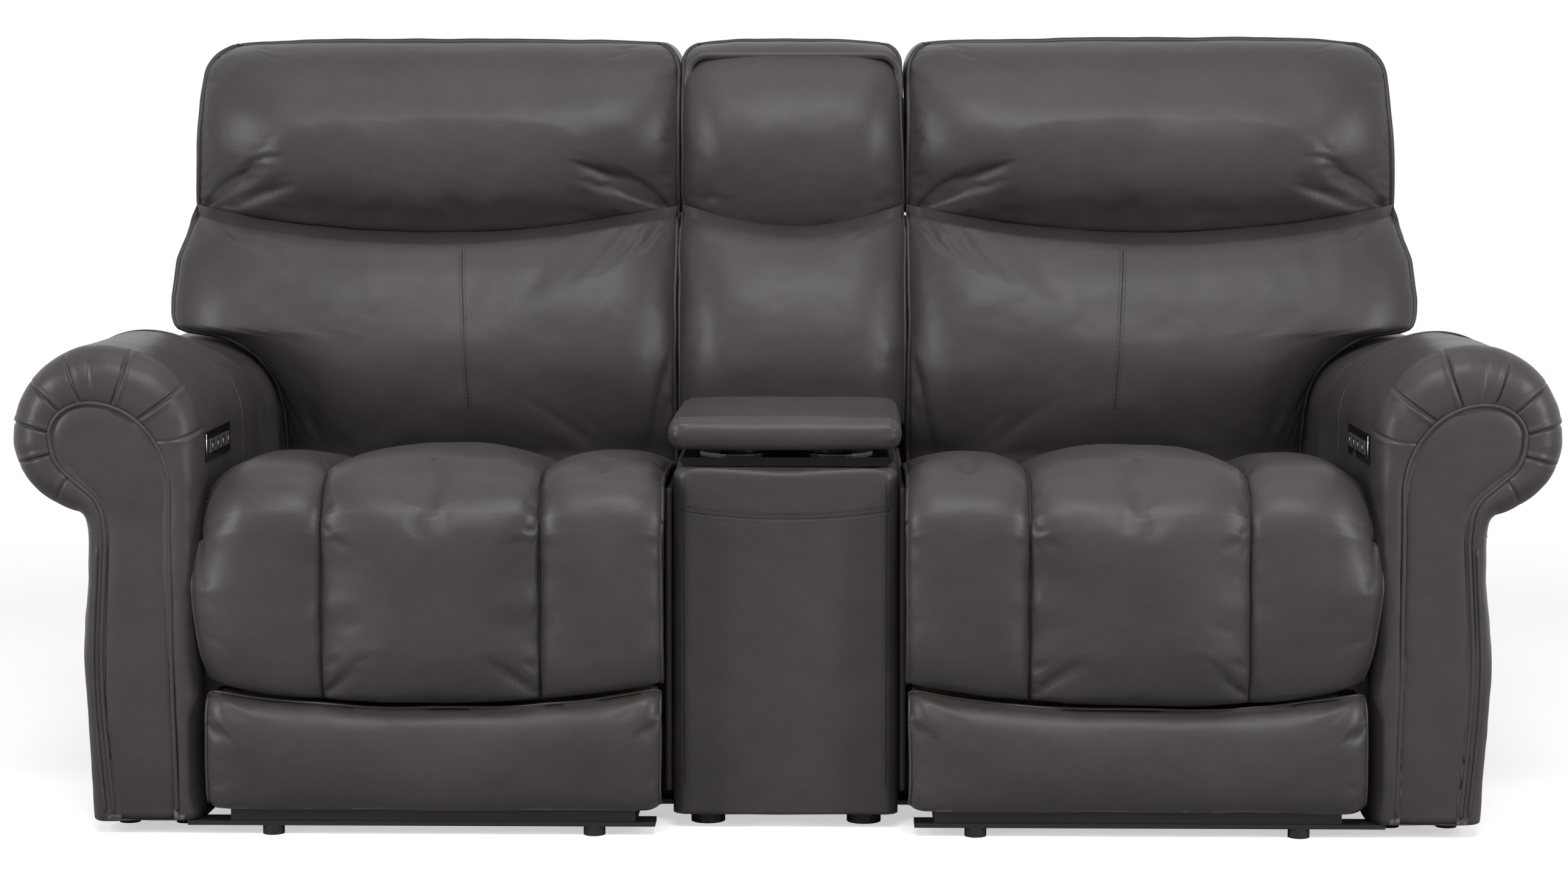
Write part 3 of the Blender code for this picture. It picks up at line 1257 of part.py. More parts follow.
def make_lid(looks, tray_rear, console_rear):
    half = CONSOLE_HALF + LID_OVERHANG
    hinge_y = LID_REAR + LID_HINGE_SETBACK
    hinge_z = LID_BOTTOM + 0.006
    pivot = (0.0, hinge_y, hinge_z)
    us = (-1.0, -0.94, -0.7, 0.0, 0.7, 0.94, 1.0)
    ws = (0.0, 0.04, 0.12, 0.35, 0.7, 0.95, 1.0)

    def cushion(u, w, t):
        rim = max(abs(u) ** 8, (1 - w) ** 12 if w < 0.5 else w**24)
        top = LID_BOTTOM + LID_THICKNESS - 0.014 * rim
        crown = 0.004 * (1 - u * u)
        z = lerp(LID_BOTTOM, top - 0.004 + crown, t)
        edge = 1 - 0.010 * abs(2 * t - 1) ** 2
        return (u * half * edge, lerp(LID_FRONT, LID_REAR, w), z)

    bm = shaped_block(us, ws, (0.0, 0.4, 0.8, 1.0), cushion)
    lid = mesh_object("console_lid", bm, looks["leather"], pivot)
    knuckle_half = half * 0.30
    leaf = box(
        (-knuckle_half, LID_REAR - 0.004, LID_BOTTOM + 0.001), (knuckle_half, hinge_y, LID_BOTTOM + 0.005)
    )
    sleeve = cylinder(pivot, LID_PIN_RADIUS + LID_SLEEVE_WALL, knuckle_half * 2, (1, 0, 0), 14)
    combine(lid, leaf, "UNION")
    combine(lid, sleeve, "UNION")
    combine(lid, cylinder(pivot, LID_PIN_RADIUS + PIN_CLEARANCE, half * 2, (1, 0, 0), 14), "DIFFERENCE")

    # The hinge stands on the tray with the pin through the lid's sleeve
    pin = cylinder(pivot, LID_PIN_RADIUS, knuckle_half * 2 + 0.016, (1, 0, 0), 14)
    hinge = mesh_object("lid_hinge", pin, looks["zinc_steel"], smooth=False)
    for sign in (-1, 1):
        near = sign * (knuckle_half + RUNNING_GAP * 2)
        far = sign * (knuckle_half + 0.008)
        post_half = LID_PIN_RADIUS + HINGE_POST_WALL
        post_top = hinge_z + LID_PIN_RADIUS + HINGE_POST_WALL
        post = box(
            (near, hinge_y - post_half, TRAY_TOP + TOUCH_GAP), (far, hinge_y + post_half, post_top)
        )
        combine(hinge, post, "UNION")

    rest_front = tray_rear + SOFT_GAP

    def rest(u, w, t):
        crown = 0.010 * (1 - abs(u) ** 6)
        z = lerp(CONSOLE_HEIGHT + TOUCH_GAP, LID_BOTTOM + crown, t)
        return (u * (CONSOLE_HALF - 0.002), lerp(rest_front, rest_rear(z), w), z)

    bm = shaped_block(us, (0.0, 0.1, 0.9, 1.0), (0.0, 0.6, 1.0), rest)
    mesh_object("console_rear_pad", bm, looks["leather"])


def rest_rear(z):
    """The rear pad stops just short of the centre back's cushion."""
    return lean_front_y(z) - SOFT_GAP


def main():
    clear_scene()
    looks = finishes()
    make_console(looks)
    make_centre_back(looks)
    for side, sign in SIDES.items():
        cover = make_arm(side, sign, looks)
        make_controls(side, sign, cover, looks)
        make_base(side, sign, looks)
        make_seat_frame(side, sign, looks)
        make_seat_cushion(side, sign, looks)
        make_links(side, sign, looks)
        make_footrest(side, sign, looks)
        make_back(side, sign, looks)
        make_headrest(side, sign, looks)


main()
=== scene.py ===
# %% [markdown]
# # A power reclining loveseat in dark leather
# Two recliners stand either side of a console with a padded lid. The frame that is loaded first
# holds every hard piece at its real size: steel, plywood, trays, buttons. This lesson dresses it.
# Foam and leather are modelled as cushions with crowns, channels, piping and stitches, and each
# finish gets a material made from nodes.

# %% Load the frame
import json
import math

import bmesh
import bpy
from mathutils import Matrix, Vector, noise
from mathutils.bvhtree import BVHTree

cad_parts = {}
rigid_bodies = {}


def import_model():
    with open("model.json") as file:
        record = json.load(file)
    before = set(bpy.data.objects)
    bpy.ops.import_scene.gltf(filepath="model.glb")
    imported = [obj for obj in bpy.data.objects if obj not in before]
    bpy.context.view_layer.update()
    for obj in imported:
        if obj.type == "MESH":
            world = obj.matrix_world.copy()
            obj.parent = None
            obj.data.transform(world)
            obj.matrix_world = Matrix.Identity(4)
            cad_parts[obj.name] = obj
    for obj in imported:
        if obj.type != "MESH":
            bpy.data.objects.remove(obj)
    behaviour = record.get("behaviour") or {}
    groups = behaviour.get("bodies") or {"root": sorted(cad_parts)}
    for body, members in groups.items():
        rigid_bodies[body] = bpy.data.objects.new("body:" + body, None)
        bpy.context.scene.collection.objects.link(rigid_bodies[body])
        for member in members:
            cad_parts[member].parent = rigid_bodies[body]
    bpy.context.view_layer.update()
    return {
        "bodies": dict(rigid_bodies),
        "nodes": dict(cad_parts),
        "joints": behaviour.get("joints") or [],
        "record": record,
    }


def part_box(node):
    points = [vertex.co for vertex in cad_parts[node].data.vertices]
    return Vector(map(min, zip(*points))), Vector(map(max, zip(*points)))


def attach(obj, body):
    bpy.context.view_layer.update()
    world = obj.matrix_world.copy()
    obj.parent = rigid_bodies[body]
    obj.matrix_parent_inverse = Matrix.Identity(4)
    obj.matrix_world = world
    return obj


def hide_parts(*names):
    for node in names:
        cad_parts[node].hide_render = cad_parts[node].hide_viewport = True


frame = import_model()

# %% [markdown]
# ## Camera
# The picture was taken from about 4.7 m in front of the back's foot, a little right of the middle
# and just below the top of the backs. A long lens keeps the arms nearly undistorted. The camera is
# tilted down a little and turned a degree, and a small shift keeps upright edges nearly parallel.

# %% Place the camera
SENSOR_WIDTH = 36.0
LENS = 74.1
CAMERA_PLACE = (0.077, -4.67, 0.930)
CAMERA_TILT = math.radians(4.0)
CAMERA_TURN = math.radians(1.06)
SHIFT_UP = -0.0542


def make_camera():
    lens = bpy.data.cameras.new("camera")
    lens.sensor_width = SENSOR_WIDTH
    lens.lens = LENS
    lens.shift_y = SHIFT_UP
    lens.clip_start = 0.1
    lens.clip_end = 60.0
    camera = bpy.data.objects.new("camera", lens)
    camera.location = CAMERA_PLACE
    camera.rotation_euler = (math.pi / 2 - CAMERA_TILT, 0.0, CAMERA_TURN)
    bpy.context.scene.collection.objects.link(camera)
    bpy.context.scene.camera = camera
    return camera


camera = make_camera()
print("camera", camera.location, "lens", camera.data.lens)

# %% [markdown]
# ## Floor, light and backdrop
# A studio cut-out has a white ground that keeps only a soft shadow. The floor is a pale disc that
# fades out into a white world, so no horizon shows. Three large soft lamps light the leather: one
# above, one on each side. The world is white to the camera, to glossy rays and to rays that pass
# through, and gives only a low fill to everything else.

# %% Make the stage
FLOOR_SIZE = 14.0
FLOOR_FADE = (1.5, 3.2)
FLOOR_TONE = (0.93, 0.93, 0.93)
FLOOR_BOUNCE = (0.55, 0.55, 0.55)
FLOOR_GLOW = 0.55
FILL_STRENGTH = 0.14
LAMPS = (
    ("lamp_top", (0.0, -0.5, 3.0), (2.6, 1.0), 15.0, (0.0, 0.0, 0.6)),
    ("lamp_key", (0.1, -3.0, 3.5), (2.6, 0.8), 84.0, (0.0, 0.0, 0.5)),
    ("lamp_left", (-3.0, -2.3, 1.5), (0.5, 1.8), 54.0, (0.0, -0.1, 0.7)),
    ("lamp_right", (3.0, -2.3, 1.5), (0.5, 1.8), 54.0, (0.0, -0.1, 0.7)),
)


def new_material(name):
    material = bpy.data.materials.new(name)
    material.use_nodes = True
    return material, material.node_tree.nodes, material.node_tree.links


def make_floor():
    bm = bmesh.new()
    bmesh.ops.create_grid(bm, x_segments=8, y_segments=8, size=FLOOR_SIZE / 2)
    mesh = bpy.data.meshes.new("floor")
    bm.to_mesh(mesh)
    bm.free()
    floor = bpy.data.objects.new("floor", mesh)
    bpy.context.scene.collection.objects.link(floor)
    material, nodes, links = new_material("pale_floor")
    shader = nodes["Principled BSDF"]
    shader.inputs["Roughness"].default_value = 0.9
    shader.inputs["Specular IOR Level"].default_value = 0.0
    shader.inputs["Emission Color"].default_value = (1.0, 1.0, 1.0, 1.0)
    path = nodes.new("ShaderNodeLightPath")
    tone = nodes.new("ShaderNodeMix")
    tone.data_type = "RGBA"
    tone.inputs["A"].default_value = (*FLOOR_BOUNCE, 1.0)
    tone.inputs["B"].default_value = (*FLOOR_TONE, 1.0)
    glow = nodes.new("ShaderNodeMath")
    glow.operation = "MULTIPLY"
    glow.inputs[1].default_value = FLOOR_GLOW
    clear = nodes.new("ShaderNodeBsdfTransparent")
    mix = nodes.new("ShaderNodeMixShader")
    place = nodes.new("ShaderNodeTexCoord")
    length = nodes.new("ShaderNodeVectorMath")
    length.operation = "LENGTH"
    fade = nodes.new("ShaderNodeMapRange")
    fade.interpolation_type = "SMOOTHSTEP"
    fade.inputs["From Min"].default_value = FLOOR_FADE[0]
    fade.inputs["From Max"].default_value = FLOOR_FADE[1]
    links.new(path.outputs["Is Camera Ray"], tone.inputs["Factor"])
    links.new(tone.outputs["Result"], shader.inputs["Base Color"])
    links.new(path.outputs["Is Camera Ray"], glow.inputs[0])
    links.new(glow.outputs["Value"], shader.inputs["Emission Strength"])
    links.new(place.outputs["Object"], length.inputs[0])
    links.new(length.outputs["Value"], fade.inputs["Value"])
    links.new(fade.outputs["Result"], mix.inputs["Fac"])
    links.new(shader.outputs["BSDF"], mix.inputs[1])
    links.new(clear.outputs["BSDF"], mix.inputs[2])
    links.new(mix.outputs["Shader"], nodes["Material Output"].inputs["Surface"])
    mesh.materials.append(material)
    return floor


def make_world():
    world = bpy.data.worlds.new("white_room")
    bpy.context.scene.world = world
    world.use_nodes = True
    nodes, links = world.node_tree.nodes, world.node_tree.links
    fill = nodes["Background"]
    fill.inputs["Color"].default_value = (1.0, 1.0, 1.0, 1.0)
    fill.inputs["Strength"].default_value = FILL_STRENGTH
    white = nodes.new("ShaderNodeBackground")
    white.inputs["Strength"].default_value = 1.0
    white.inputs["Color"].default_value = (1.0, 1.0, 1.0, 1.0)
    path = nodes.new("ShaderNodeLightPath")
    first = nodes.new("ShaderNodeMath")
    first.operation = "MAXIMUM"
    second = nodes.new("ShaderNodeMath")
    second.operation = "MAXIMUM"
    links.new(path.outputs["Is Camera Ray"], first.inputs[0])
    links.new(path.outputs["Is Glossy Ray"], first.inputs[1])
    links.new(first.outputs["Value"], second.inputs[0])
    links.new(path.outputs["Is Transmission Ray"], second.inputs[1])
    mix = nodes.new("ShaderNodeMixShader")
    links.new(second.outputs["Value"], mix.inputs["Fac"])
    links.new(fill.outputs["Background"], mix.inputs[1])
    links.new(white.outputs["Background"], mix.inputs[2])
    links.new(mix.outputs["Shader"], nodes["World Output"].inputs["Surface"])


def make_lamps():
    for name, place, size, power, aim in LAMPS:
        lamp = bpy.data.lights.new(name, "AREA")
        lamp.shape = "RECTANGLE"
        lamp.size, lamp.size_y = size
        lamp.energy = power
        holder = bpy.data.objects.new(name, lamp)
        holder.location = place
        direction = Vector(aim) - Vector(place)
        holder.rotation_euler = direction.to_track_quat("-Z", "Y").to_euler()
        bpy.context.scene.collection.objects.link(holder)


make_floor()
make_world()
make_lamps()
bpy.context.scene.view_settings.view_transform = "Standard"
print("stage ready:", len(LAMPS), "lamps")

# %% [markdown]
# ## Shaping tools
# A cushion cover is cut from flat panels, sewn along seams and stuffed. The same order works in
# bmesh. A grid is the flat panel, a rule lays it in place, a short cloth simulation swells it
# between its seams, and extruded rims give it depth. Every later cushion reuses these helpers.

# %% Make and shape panels
SOFT_GAP = 0.002
SIDES = (("right", 1), ("left", -1))


def lerp(a, b, t):
    return a + (b - a) * t


def clamp(value, low=0.0, high=1.0):
    return max(low, min(high, value))


def panel(columns, rows, rule):
    """A grid from 0 to 1 both ways, laid in place by a rule of (u, v). Its rim is numbered.

    The number starts at 1 in the low corner. It runs up the side u = 0, along v = 1, and down u = 1.
    """
    bm = bmesh.new()
    middle = Matrix.Translation((0.5, 0.5, 0.0))
    bmesh.ops.create_grid(bm, x_segments=columns, y_segments=rows, size=0.5, matrix=middle)
    bm.verts.layers.int.new("rim")
    bm.verts.layers.int.new("row")
    numbers, levels = bm.verts.layers.int["rim"], bm.verts.layers.int["row"]
    for vert in bm.verts:
        u, v = round(vert.co.x, 6), round(vert.co.y, 6)
        column, row = round(u * columns), round(v * rows)
        vert[levels] = row
        if column == 0:
            vert[numbers] = 1 + row
        elif row == rows:
            vert[numbers] = 1 + rows + column
        elif column == columns:
            vert[numbers] = 1 + 2 * rows + columns - row
        vert.co = rule(u, v)
    bm.normal_update()
    return bm


def rim_line(bm, first=1, last=10 ** 6):
    """The numbered rim's points in their order, read after the panel has been stuffed."""
    numbers = bm.verts.layers.int["rim"]
    found = {vert[numbers]: vert.co.copy() for vert in bm.verts if first <= vert[numbers] <= last}
    return [found[number] for number in sorted(found)]


def face_toward(bm, direction):
    """Turn the faces so that most of them look along a direction."""
    bm.normal_update()
    total = sum((face.normal * face.calc_area() for face in bm.faces), Vector())
    if total.dot(Vector(direction)) < 0:
        bmesh.ops.reverse_faces(bm, faces=bm.faces)
    bm.normal_update()


def edge_fall(distance, reach, depth):
    """How far a stuffed panel has dropped at a distance from its seam: a quarter ellipse."""
    if distance >= reach:
        return 0.0
    return depth * (1 - math.sqrt(1 - (1 - max(distance, 0.0) / reach) ** 2))


def smooth_path(points, steps):
    """A Catmull-Rom curve through a few points, as many more points."""
    ends = [points[0], *points, points[-1]]
    path = []
    for before, start, end, after in zip(ends, ends[1:], ends[2:], ends[3:]):
        for step in range(steps):
            t = step / steps
            path.append(tuple(
                0.5 * (2 * b + (c - a) * t + (2 * a - 5 * b + 4 * c - d) * t * t
                       + (3 * b - a - 3 * c + d) * t ** 3)
                for a, b, c, d in zip(before, start, end, after)
            ))
    path.append(tuple(points[-1]))
    return path


def along(path, share):
    """The point at a share of a path's own length."""
    spans = [math.dist(a, b) for a, b in zip(path, path[1:])]
    left = clamp(share) * sum(spans)
    for a, b, span in zip(path, path[1:], spans):
        if left <= span and span > 0:
            return tuple(lerp(p, q, left / span) for p, q in zip(a, b))
        left -= span
    return tuple(path[-1])


def even_path(path, count):
    """The same path as evenly spaced points."""
    spans = [math.dist(a, b) for a, b in zip(path, path[1:])]
    total = sum(spans)
    points = []
    index, passed = 0, 0.0
    for i in range(count):
        goal = total * i / (count - 1)
        while index < len(spans) - 1 and passed + spans[index] < goal:
            passed += spans[index]
            index += 1
        share = clamp((goal - passed) / spans[index]) if spans[index] > 0 else 0.0
        points.append(tuple(lerp(p, q, share) for p, q in zip(path[index], path[index + 1])))
    return points


print("full simulation")

# %% Swell, settle and deepen
CLOTH_FRAMES = 20
CLOTH_PRESSURE = 4.0
CLOTH_STIFFNESS = 18.0
CLOTH_BENDING = 0.6
RIM_SHRINK = 0.22


def puff(bm, pinned, most):
    """Swell a panel as cloth. Pinned points hold still; no point moves further than most."""
    scene = bpy.context.scene
    mesh = bpy.data.meshes.new("cloth_panel")
    bm.to_mesh(mesh)
    piece = bpy.data.objects.new("cloth_panel", mesh)
    scene.collection.objects.link(piece)
    seams = piece.vertex_groups.new(name="seams")
    seams.add([vert.index for vert in bm.verts if pinned(vert)], 1.0, "REPLACE")
    cloth = piece.modifiers.new("cloth", "CLOTH")
    cloth.settings.quality = 5
    cloth.settings.mass = 0.4
    cloth.settings.tension_stiffness = CLOTH_STIFFNESS
    cloth.settings.compression_stiffness = CLOTH_STIFFNESS
    cloth.settings.bending_stiffness = CLOTH_BENDING
    cloth.settings.vertex_group_mass = "seams"
    cloth.settings.use_pressure = True
    cloth.settings.uniform_pressure_force = CLOTH_PRESSURE
    cloth.settings.effector_weights.gravity = 0.0
    cloth.collision_settings.use_collision = False
    cloth.point_cache.frame_start = 1
    cloth.point_cache.frame_end = CLOTH_FRAMES
    for frame in range(1, CLOTH_FRAMES + 1):
        scene.frame_set(frame)
    swollen = piece.evaluated_get(bpy.context.evaluated_depsgraph_get()).data
    for vert, moved in zip(bm.verts, swollen.vertices):
        step = moved.co - vert.co
        if step.length > most:
            step *= most / step.length
        vert.co += step
    bpy.data.objects.remove(piece, do_unlink=True)
    bpy.data.meshes.remove(mesh)
    scene.frame_set(1)
    bm.normal_update()


def settle(bm, seed, waves):
    """Uneven stuffing: move each point along its normal by smooth noise of a few sizes."""
    bm.normal_update()
    shift = Vector((seed * 7.3, seed * 3.1, seed * 5.7))
    moves = [
        vert.normal * sum(height * noise.noise(vert.co / size + shift) for size, height in waves)
        for vert in bm.verts
    ]
    for vert, move in zip(bm.verts, moves):
        vert.co += move
    bm.normal_update()


STUFFING = ((0.16, 0.0026), (0.06, 0.0011), (0.024, 0.0004))


def grow_rim(bm, rim):
    """Extrude an open rim and give the new rim's edges and points, without numbers."""
    grown = bmesh.ops.extrude_edge_only(bm, edges=rim)["geom"]
    rim = [part for part in grown if isinstance(part, bmesh.types.BMEdge) and part.is_boundary]
    points = {vert for edge in rim for vert in edge.verts}
    numbers = bm.verts.layers.int.get("rim")
    if numbers:
        for vert in points:
            vert[numbers] = 0
    return rim, points


def deepen(bm, steps):
    """Extrude the open rim once for each step, then move the new rim by that step's rule."""
    rim = [edge for edge in bm.edges if edge.is_boundary]
    for move in steps:
        rim, points = grow_rim(bm, rim)
        for vert in points:
            vert.co = move(vert.co.copy())
    return rim


def close_rim(bm, rim, rings=0, bulge=(0.0, 0.0, 0.0)):
    """Close an opening, first with rings drawn in towards its middle when it will show."""
    points = {vert for edge in rim for vert in edge.verts}
    middle = sum((vert.co for vert in points), Vector()) / len(points)
    for ring in range(rings):
        rim, points = grow_rim(bm, rim)
        lift = Vector(bulge) * (1 - ring / rings)
        for vert in points:
            vert.co = vert.co.lerp(middle, RIM_SHRINK) + lift
    bmesh.ops.holes_fill(bm, edges=rim, sides=0)


def mirrored(bm):
    """The same shape for the other side of the sofa."""
    other = bm.copy()
    bmesh.ops.scale(other, verts=other.verts, vec=(-1.0, 1.0, 1.0))
    bmesh.ops.reverse_faces(other, faces=other.faces)
    other.normal_update()
    return other


def on_side(bm, side):
    """A right-hand shape as it is, or mirrored for the left."""
    return mirrored(bm) if side == "left" else bm


SURFACES = {}


def make_piece(bm, name, material, body, replaced=()):
    """Finish a shape: normals out, smooth shading, its body and what it stands for."""
    bmesh.ops.recalc_face_normals(bm, faces=bm.faces)
    if bm.calc_volume(signed=True) < 0:
        bmesh.ops.reverse_faces(bm, faces=bm.faces)
    mesh = bpy.data.meshes.new(name)
    bm.to_mesh(mesh)
    SURFACES[name] = BVHTree.FromBMesh(bm)
    bm.free()
    mesh.materials.append(material)
    mesh.shade_smooth()
    piece = bpy.data.objects.new(name, mesh)
    bpy.context.scene.collection.objects.link(piece)
    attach(piece, body)
    if replaced:
        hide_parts(*replaced)
    return piece


def both_sides(bm, name, material, body, node=None):
    """Make the right-hand piece and its twin, each with its own stuffing. Gives each one's rim."""
    rims = {}
    for seed, (side, shape) in enumerate((("right", bm), ("left", mirrored(bm)))):
        settle(shape, seed + len(name), STUFFING)
        if shape.verts.layers.int.get("rim"):
            rims[side] = rim_line(shape)
        make_piece(shape, f"{name}_{side}", material, body.format(side),
                   replaced=(f"{node}_{side}",) if node else ())
    print(name, "both sides")
    return rims


# %% [markdown]
# ## Leather
# Smooth grey-brown leather with a semi-gloss finish. Three scales matter. The fine grain is a
# cell pattern about a millimetre across. Soft waves of a few centimetres break up the highlights.
# Broad patches carry two close tones, and worn ridges are a little paler. All of it reads Object
# coordinates, which are real metres here, so the grain has one size on every piece.

# %% Leather material
LEATHER_DARK = (0.0385, 0.0337, 0.0325, 1.0)
LEATHER_LIGHT = (0.0560, 0.0494, 0.0475, 1.0)
GRAIN_PER_METRE = 820.0
LEATHER_ROUGHNESS = (0.32, 0.43)
WORN_TONE = (0.100, 0.089, 0.085, 1.0)
# The next two tones are painted shade: near-black leather for the shade beside piping and in seam
# grooves.
SEAM_SHADE_DARK = (0.0085, 0.0075, 0.0072, 1.0)
SEAM_SHADE_LIGHT = (0.0140, 0.0122, 0.0118, 1.0)


def add_node(nodes, kind, **values):
    """A node with some of its settings and input values filled in."""
    made = nodes.new(kind)
    for key, value in values.items():
        if key in made.inputs:
            made.inputs[key].default_value = value
        else:
            setattr(made, key, value)
    return made


def leather_material(name="leather_cover", dark=LEATHER_DARK, light=LEATHER_LIGHT):
    material, nodes, links = new_material(name)
    shader = nodes["Principled BSDF"]
    shader.inputs["Specular IOR Level"].default_value = 0.26
    shader.inputs["Coat Weight"].default_value = 0.03
    shader.inputs["Coat Roughness"].default_value = 0.30
    place = nodes.new("ShaderNodeTexCoord")

    patches = add_node(nodes, "ShaderNodeTexNoise", Scale=5.5, Detail=3.0, Roughness=0.55)
    mottle = add_node(nodes, "ShaderNodeTexNoise", Scale=70.0, Detail=4.0, Roughness=0.6)
    blend = add_node(nodes, "ShaderNodeMath", operation="MULTIPLY_ADD")
    blend.inputs[1].default_value = 0.35
    tones = nodes.new("ShaderNodeValToRGB")
    tones.color_ramp.elements[0].position = 0.42
    tones.color_ramp.elements[0].color = dark
    tones.color_ramp.elements[1].position = 0.92
    tones.color_ramp.elements[1].color = light
    links.new(place.outputs["Object"], patches.inputs["Vector"])
    links.new(place.outputs["Object"], mottle.inputs["Vector"])
    links.new(mottle.outputs["Fac"], blend.inputs[0])
    links.new(patches.outputs["Fac"], blend.inputs[2])
    links.new(blend.outputs["Value"], tones.inputs["Fac"])

    shape = nodes.new("ShaderNodeNewGeometry")
    ridge = nodes.new("ShaderNodeMapRange")
    ridge.inputs["From Min"].default_value = 0.515
    ridge.inputs["From Max"].default_value = 0.60
    ridge.inputs["To Max"].default_value = 0.20
    worn = add_node(nodes, "ShaderNodeMix", data_type="RGBA")
    worn.inputs["B"].default_value = WORN_TONE
    links.new(shape.outputs["Pointiness"], ridge.inputs["Value"])
    links.new(ridge.outputs["Result"], worn.inputs["Factor"])
    links.new(tones.outputs["Color"], worn.inputs["A"])
    links.new(worn.outputs["Result"], shader.inputs["Base Color"])

    gloss = nodes.new("ShaderNodeMapRange")
    gloss.inputs["To Min"].default_value = LEATHER_ROUGHNESS[0]
    gloss.inputs["To Max"].default_value = LEATHER_ROUGHNESS[1]
    links.new(blend.outputs["Value"], gloss.inputs["Value"])
    links.new(gloss.outputs["Result"], shader.inputs["Roughness"])

    grain = add_node(nodes, "ShaderNodeTexVoronoi", feature="SMOOTH_F1", Scale=GRAIN_PER_METRE)
    creases = add_node(nodes, "ShaderNodeTexNoise", Scale=210.0, Detail=5.0, Roughness=0.62)
    waves = add_node(nodes, "ShaderNodeTexNoise", Scale=24.0, Detail=2.0, Roughness=0.5)
    fine = add_node(nodes, "ShaderNodeBump", Strength=0.16, Distance=0.0004)
    middle = add_node(nodes, "ShaderNodeBump", Strength=0.22, Distance=0.0008)
    broad = add_node(nodes, "ShaderNodeBump", Strength=0.30, Distance=0.0022)
    for texture, bump in ((grain, fine), (creases, middle), (waves, broad)):
        links.new(place.outputs["Object"], texture.inputs["Vector"])
        links.new(texture.outputs[0], bump.inputs["Height"])
    links.new(broad.outputs["Normal"], middle.inputs["Normal"])
    links.new(middle.outputs["Normal"], fine.inputs["Normal"])
    links.new(fine.outputs["Normal"], shader.inputs["Normal"])
    return material


LEATHER = leather_material()
# A second leather in the painted shade tones, for the shade lines at piping and seams.
PAINTED_SHADE_LEATHER = leather_material("leather_painted_seam_shade", SEAM_SHADE_DARK, SEAM_SHADE_LIGHT)
print("leather nodes", len(LEATHER.node_tree.nodes))

# %% [markdown]
# ## Metal, wood and plastic
# The hard finishes share one recipe: a base colour that varies a little, a roughness that varies
# with it, and a bump at the scale of the real surface. Brushed steel stretches its noise along
# one axis. Powder coat is finely pebbled. Plywood shows its plies as bands.

# %% Hard materials
HARD_BUMP_DEPTH = 0.0003
PLY_TONES = ((0.36, 0.24, 0.13), (0.56, 0.41, 0.25))
CUP_RIM_FROM_X = 0.088
ARM_BOARD_TO_Z = 0.0215


def hard_material(name, colours, roughness, metallic, stretch=(1.0, 1.0, 1.0), scale=60.0, bump=0.1):
    """A finish with a two-tone noise, its own roughness range and a fine bump."""
    material, nodes, links = new_material(name)
    shader = nodes["Principled BSDF"]
    shader.inputs["Metallic"].default_value = metallic
    place = nodes.new("ShaderNodeTexCoord")
    mapping = nodes.new("ShaderNodeMapping")
    mapping.inputs["Scale"].default_value = stretch
    pattern = add_node(nodes, "ShaderNodeTexNoise", Scale=scale, Detail=5.0, Roughness=0.6)
    tones = nodes.new("ShaderNodeValToRGB")
    tones.color_ramp.elements[0].position = 0.3
    tones.color_ramp.elements[0].color = (*colours[0], 1.0)
    tones.color_ramp.elements[1].position = 0.7
    tones.color_ramp.elements[1].color = (*colours[1], 1.0)
    gloss = nodes.new("ShaderNodeMapRange")
    gloss.inputs["To Min"].default_value = roughness[0]
    gloss.inputs["To Max"].default_value = roughness[1]
    height = add_node(nodes, "ShaderNodeBump", Strength=bump, Distance=HARD_BUMP_DEPTH)
    links.new(place.outputs["Object"], mapping.inputs["Vector"])
    links.new(mapping.outputs["Vector"], pattern.inputs["Vector"])
    links.new(pattern.outputs["Fac"], tones.inputs["Fac"])
    links.new(pattern.outputs["Fac"], gloss.inputs["Value"])
    links.new(pattern.outputs["Fac"], height.inputs["Height"])
    links.new(tones.outputs["Color"], shader.inputs["Base Color"])
    links.new(gloss.outputs["Result"], shader.inputs["Roughness"])
    links.new(height.outputs["Normal"], shader.inputs["Normal"])
    return material


def dull(material, level):
    """Lower a material's mirror-like part."""
    material.node_tree.nodes["Principled BSDF"].inputs["Specular IOR Level"].default_value = level
    return material


def two_finishes(name, inside, outside, axis, level, above_outside=True):
    """A material that changes base colour across a plane of Object coordinates."""
    material = hard_material(name, inside, (0.18, 0.34), 0.0, scale=200.0, bump=0.1)
    nodes, links = material.node_tree.nodes, material.node_tree.links
    shader = nodes["Principled BSDF"]
    inner = shader.inputs["Base Color"].links[0].from_socket
    place = nodes.new("ShaderNodeTexCoord")
    parts = nodes.new("ShaderNodeSeparateXYZ")
    size = add_node(nodes, "ShaderNodeMath", operation="ABSOLUTE")
    split = add_node(nodes, "ShaderNodeMath",
                     operation="GREATER_THAN" if above_outside else "LESS_THAN")
    split.inputs[1].default_value = level
    choice = add_node(nodes, "ShaderNodeMix", data_type="RGBA")
    choice.inputs["B"].default_value = (*outside, 1.0)
    links.new(place.outputs["Object"], parts.inputs["Vector"])
    links.new(parts.outputs[axis], size.inputs[0])
    links.new(size.outputs["Value"], split.inputs[0])
    links.new(split.outputs["Value"], choice.inputs["Factor"])
    links.new(inner, choice.inputs["A"])
    links.new(choice.outputs["Result"], shader.inputs["Base Color"])
    return material


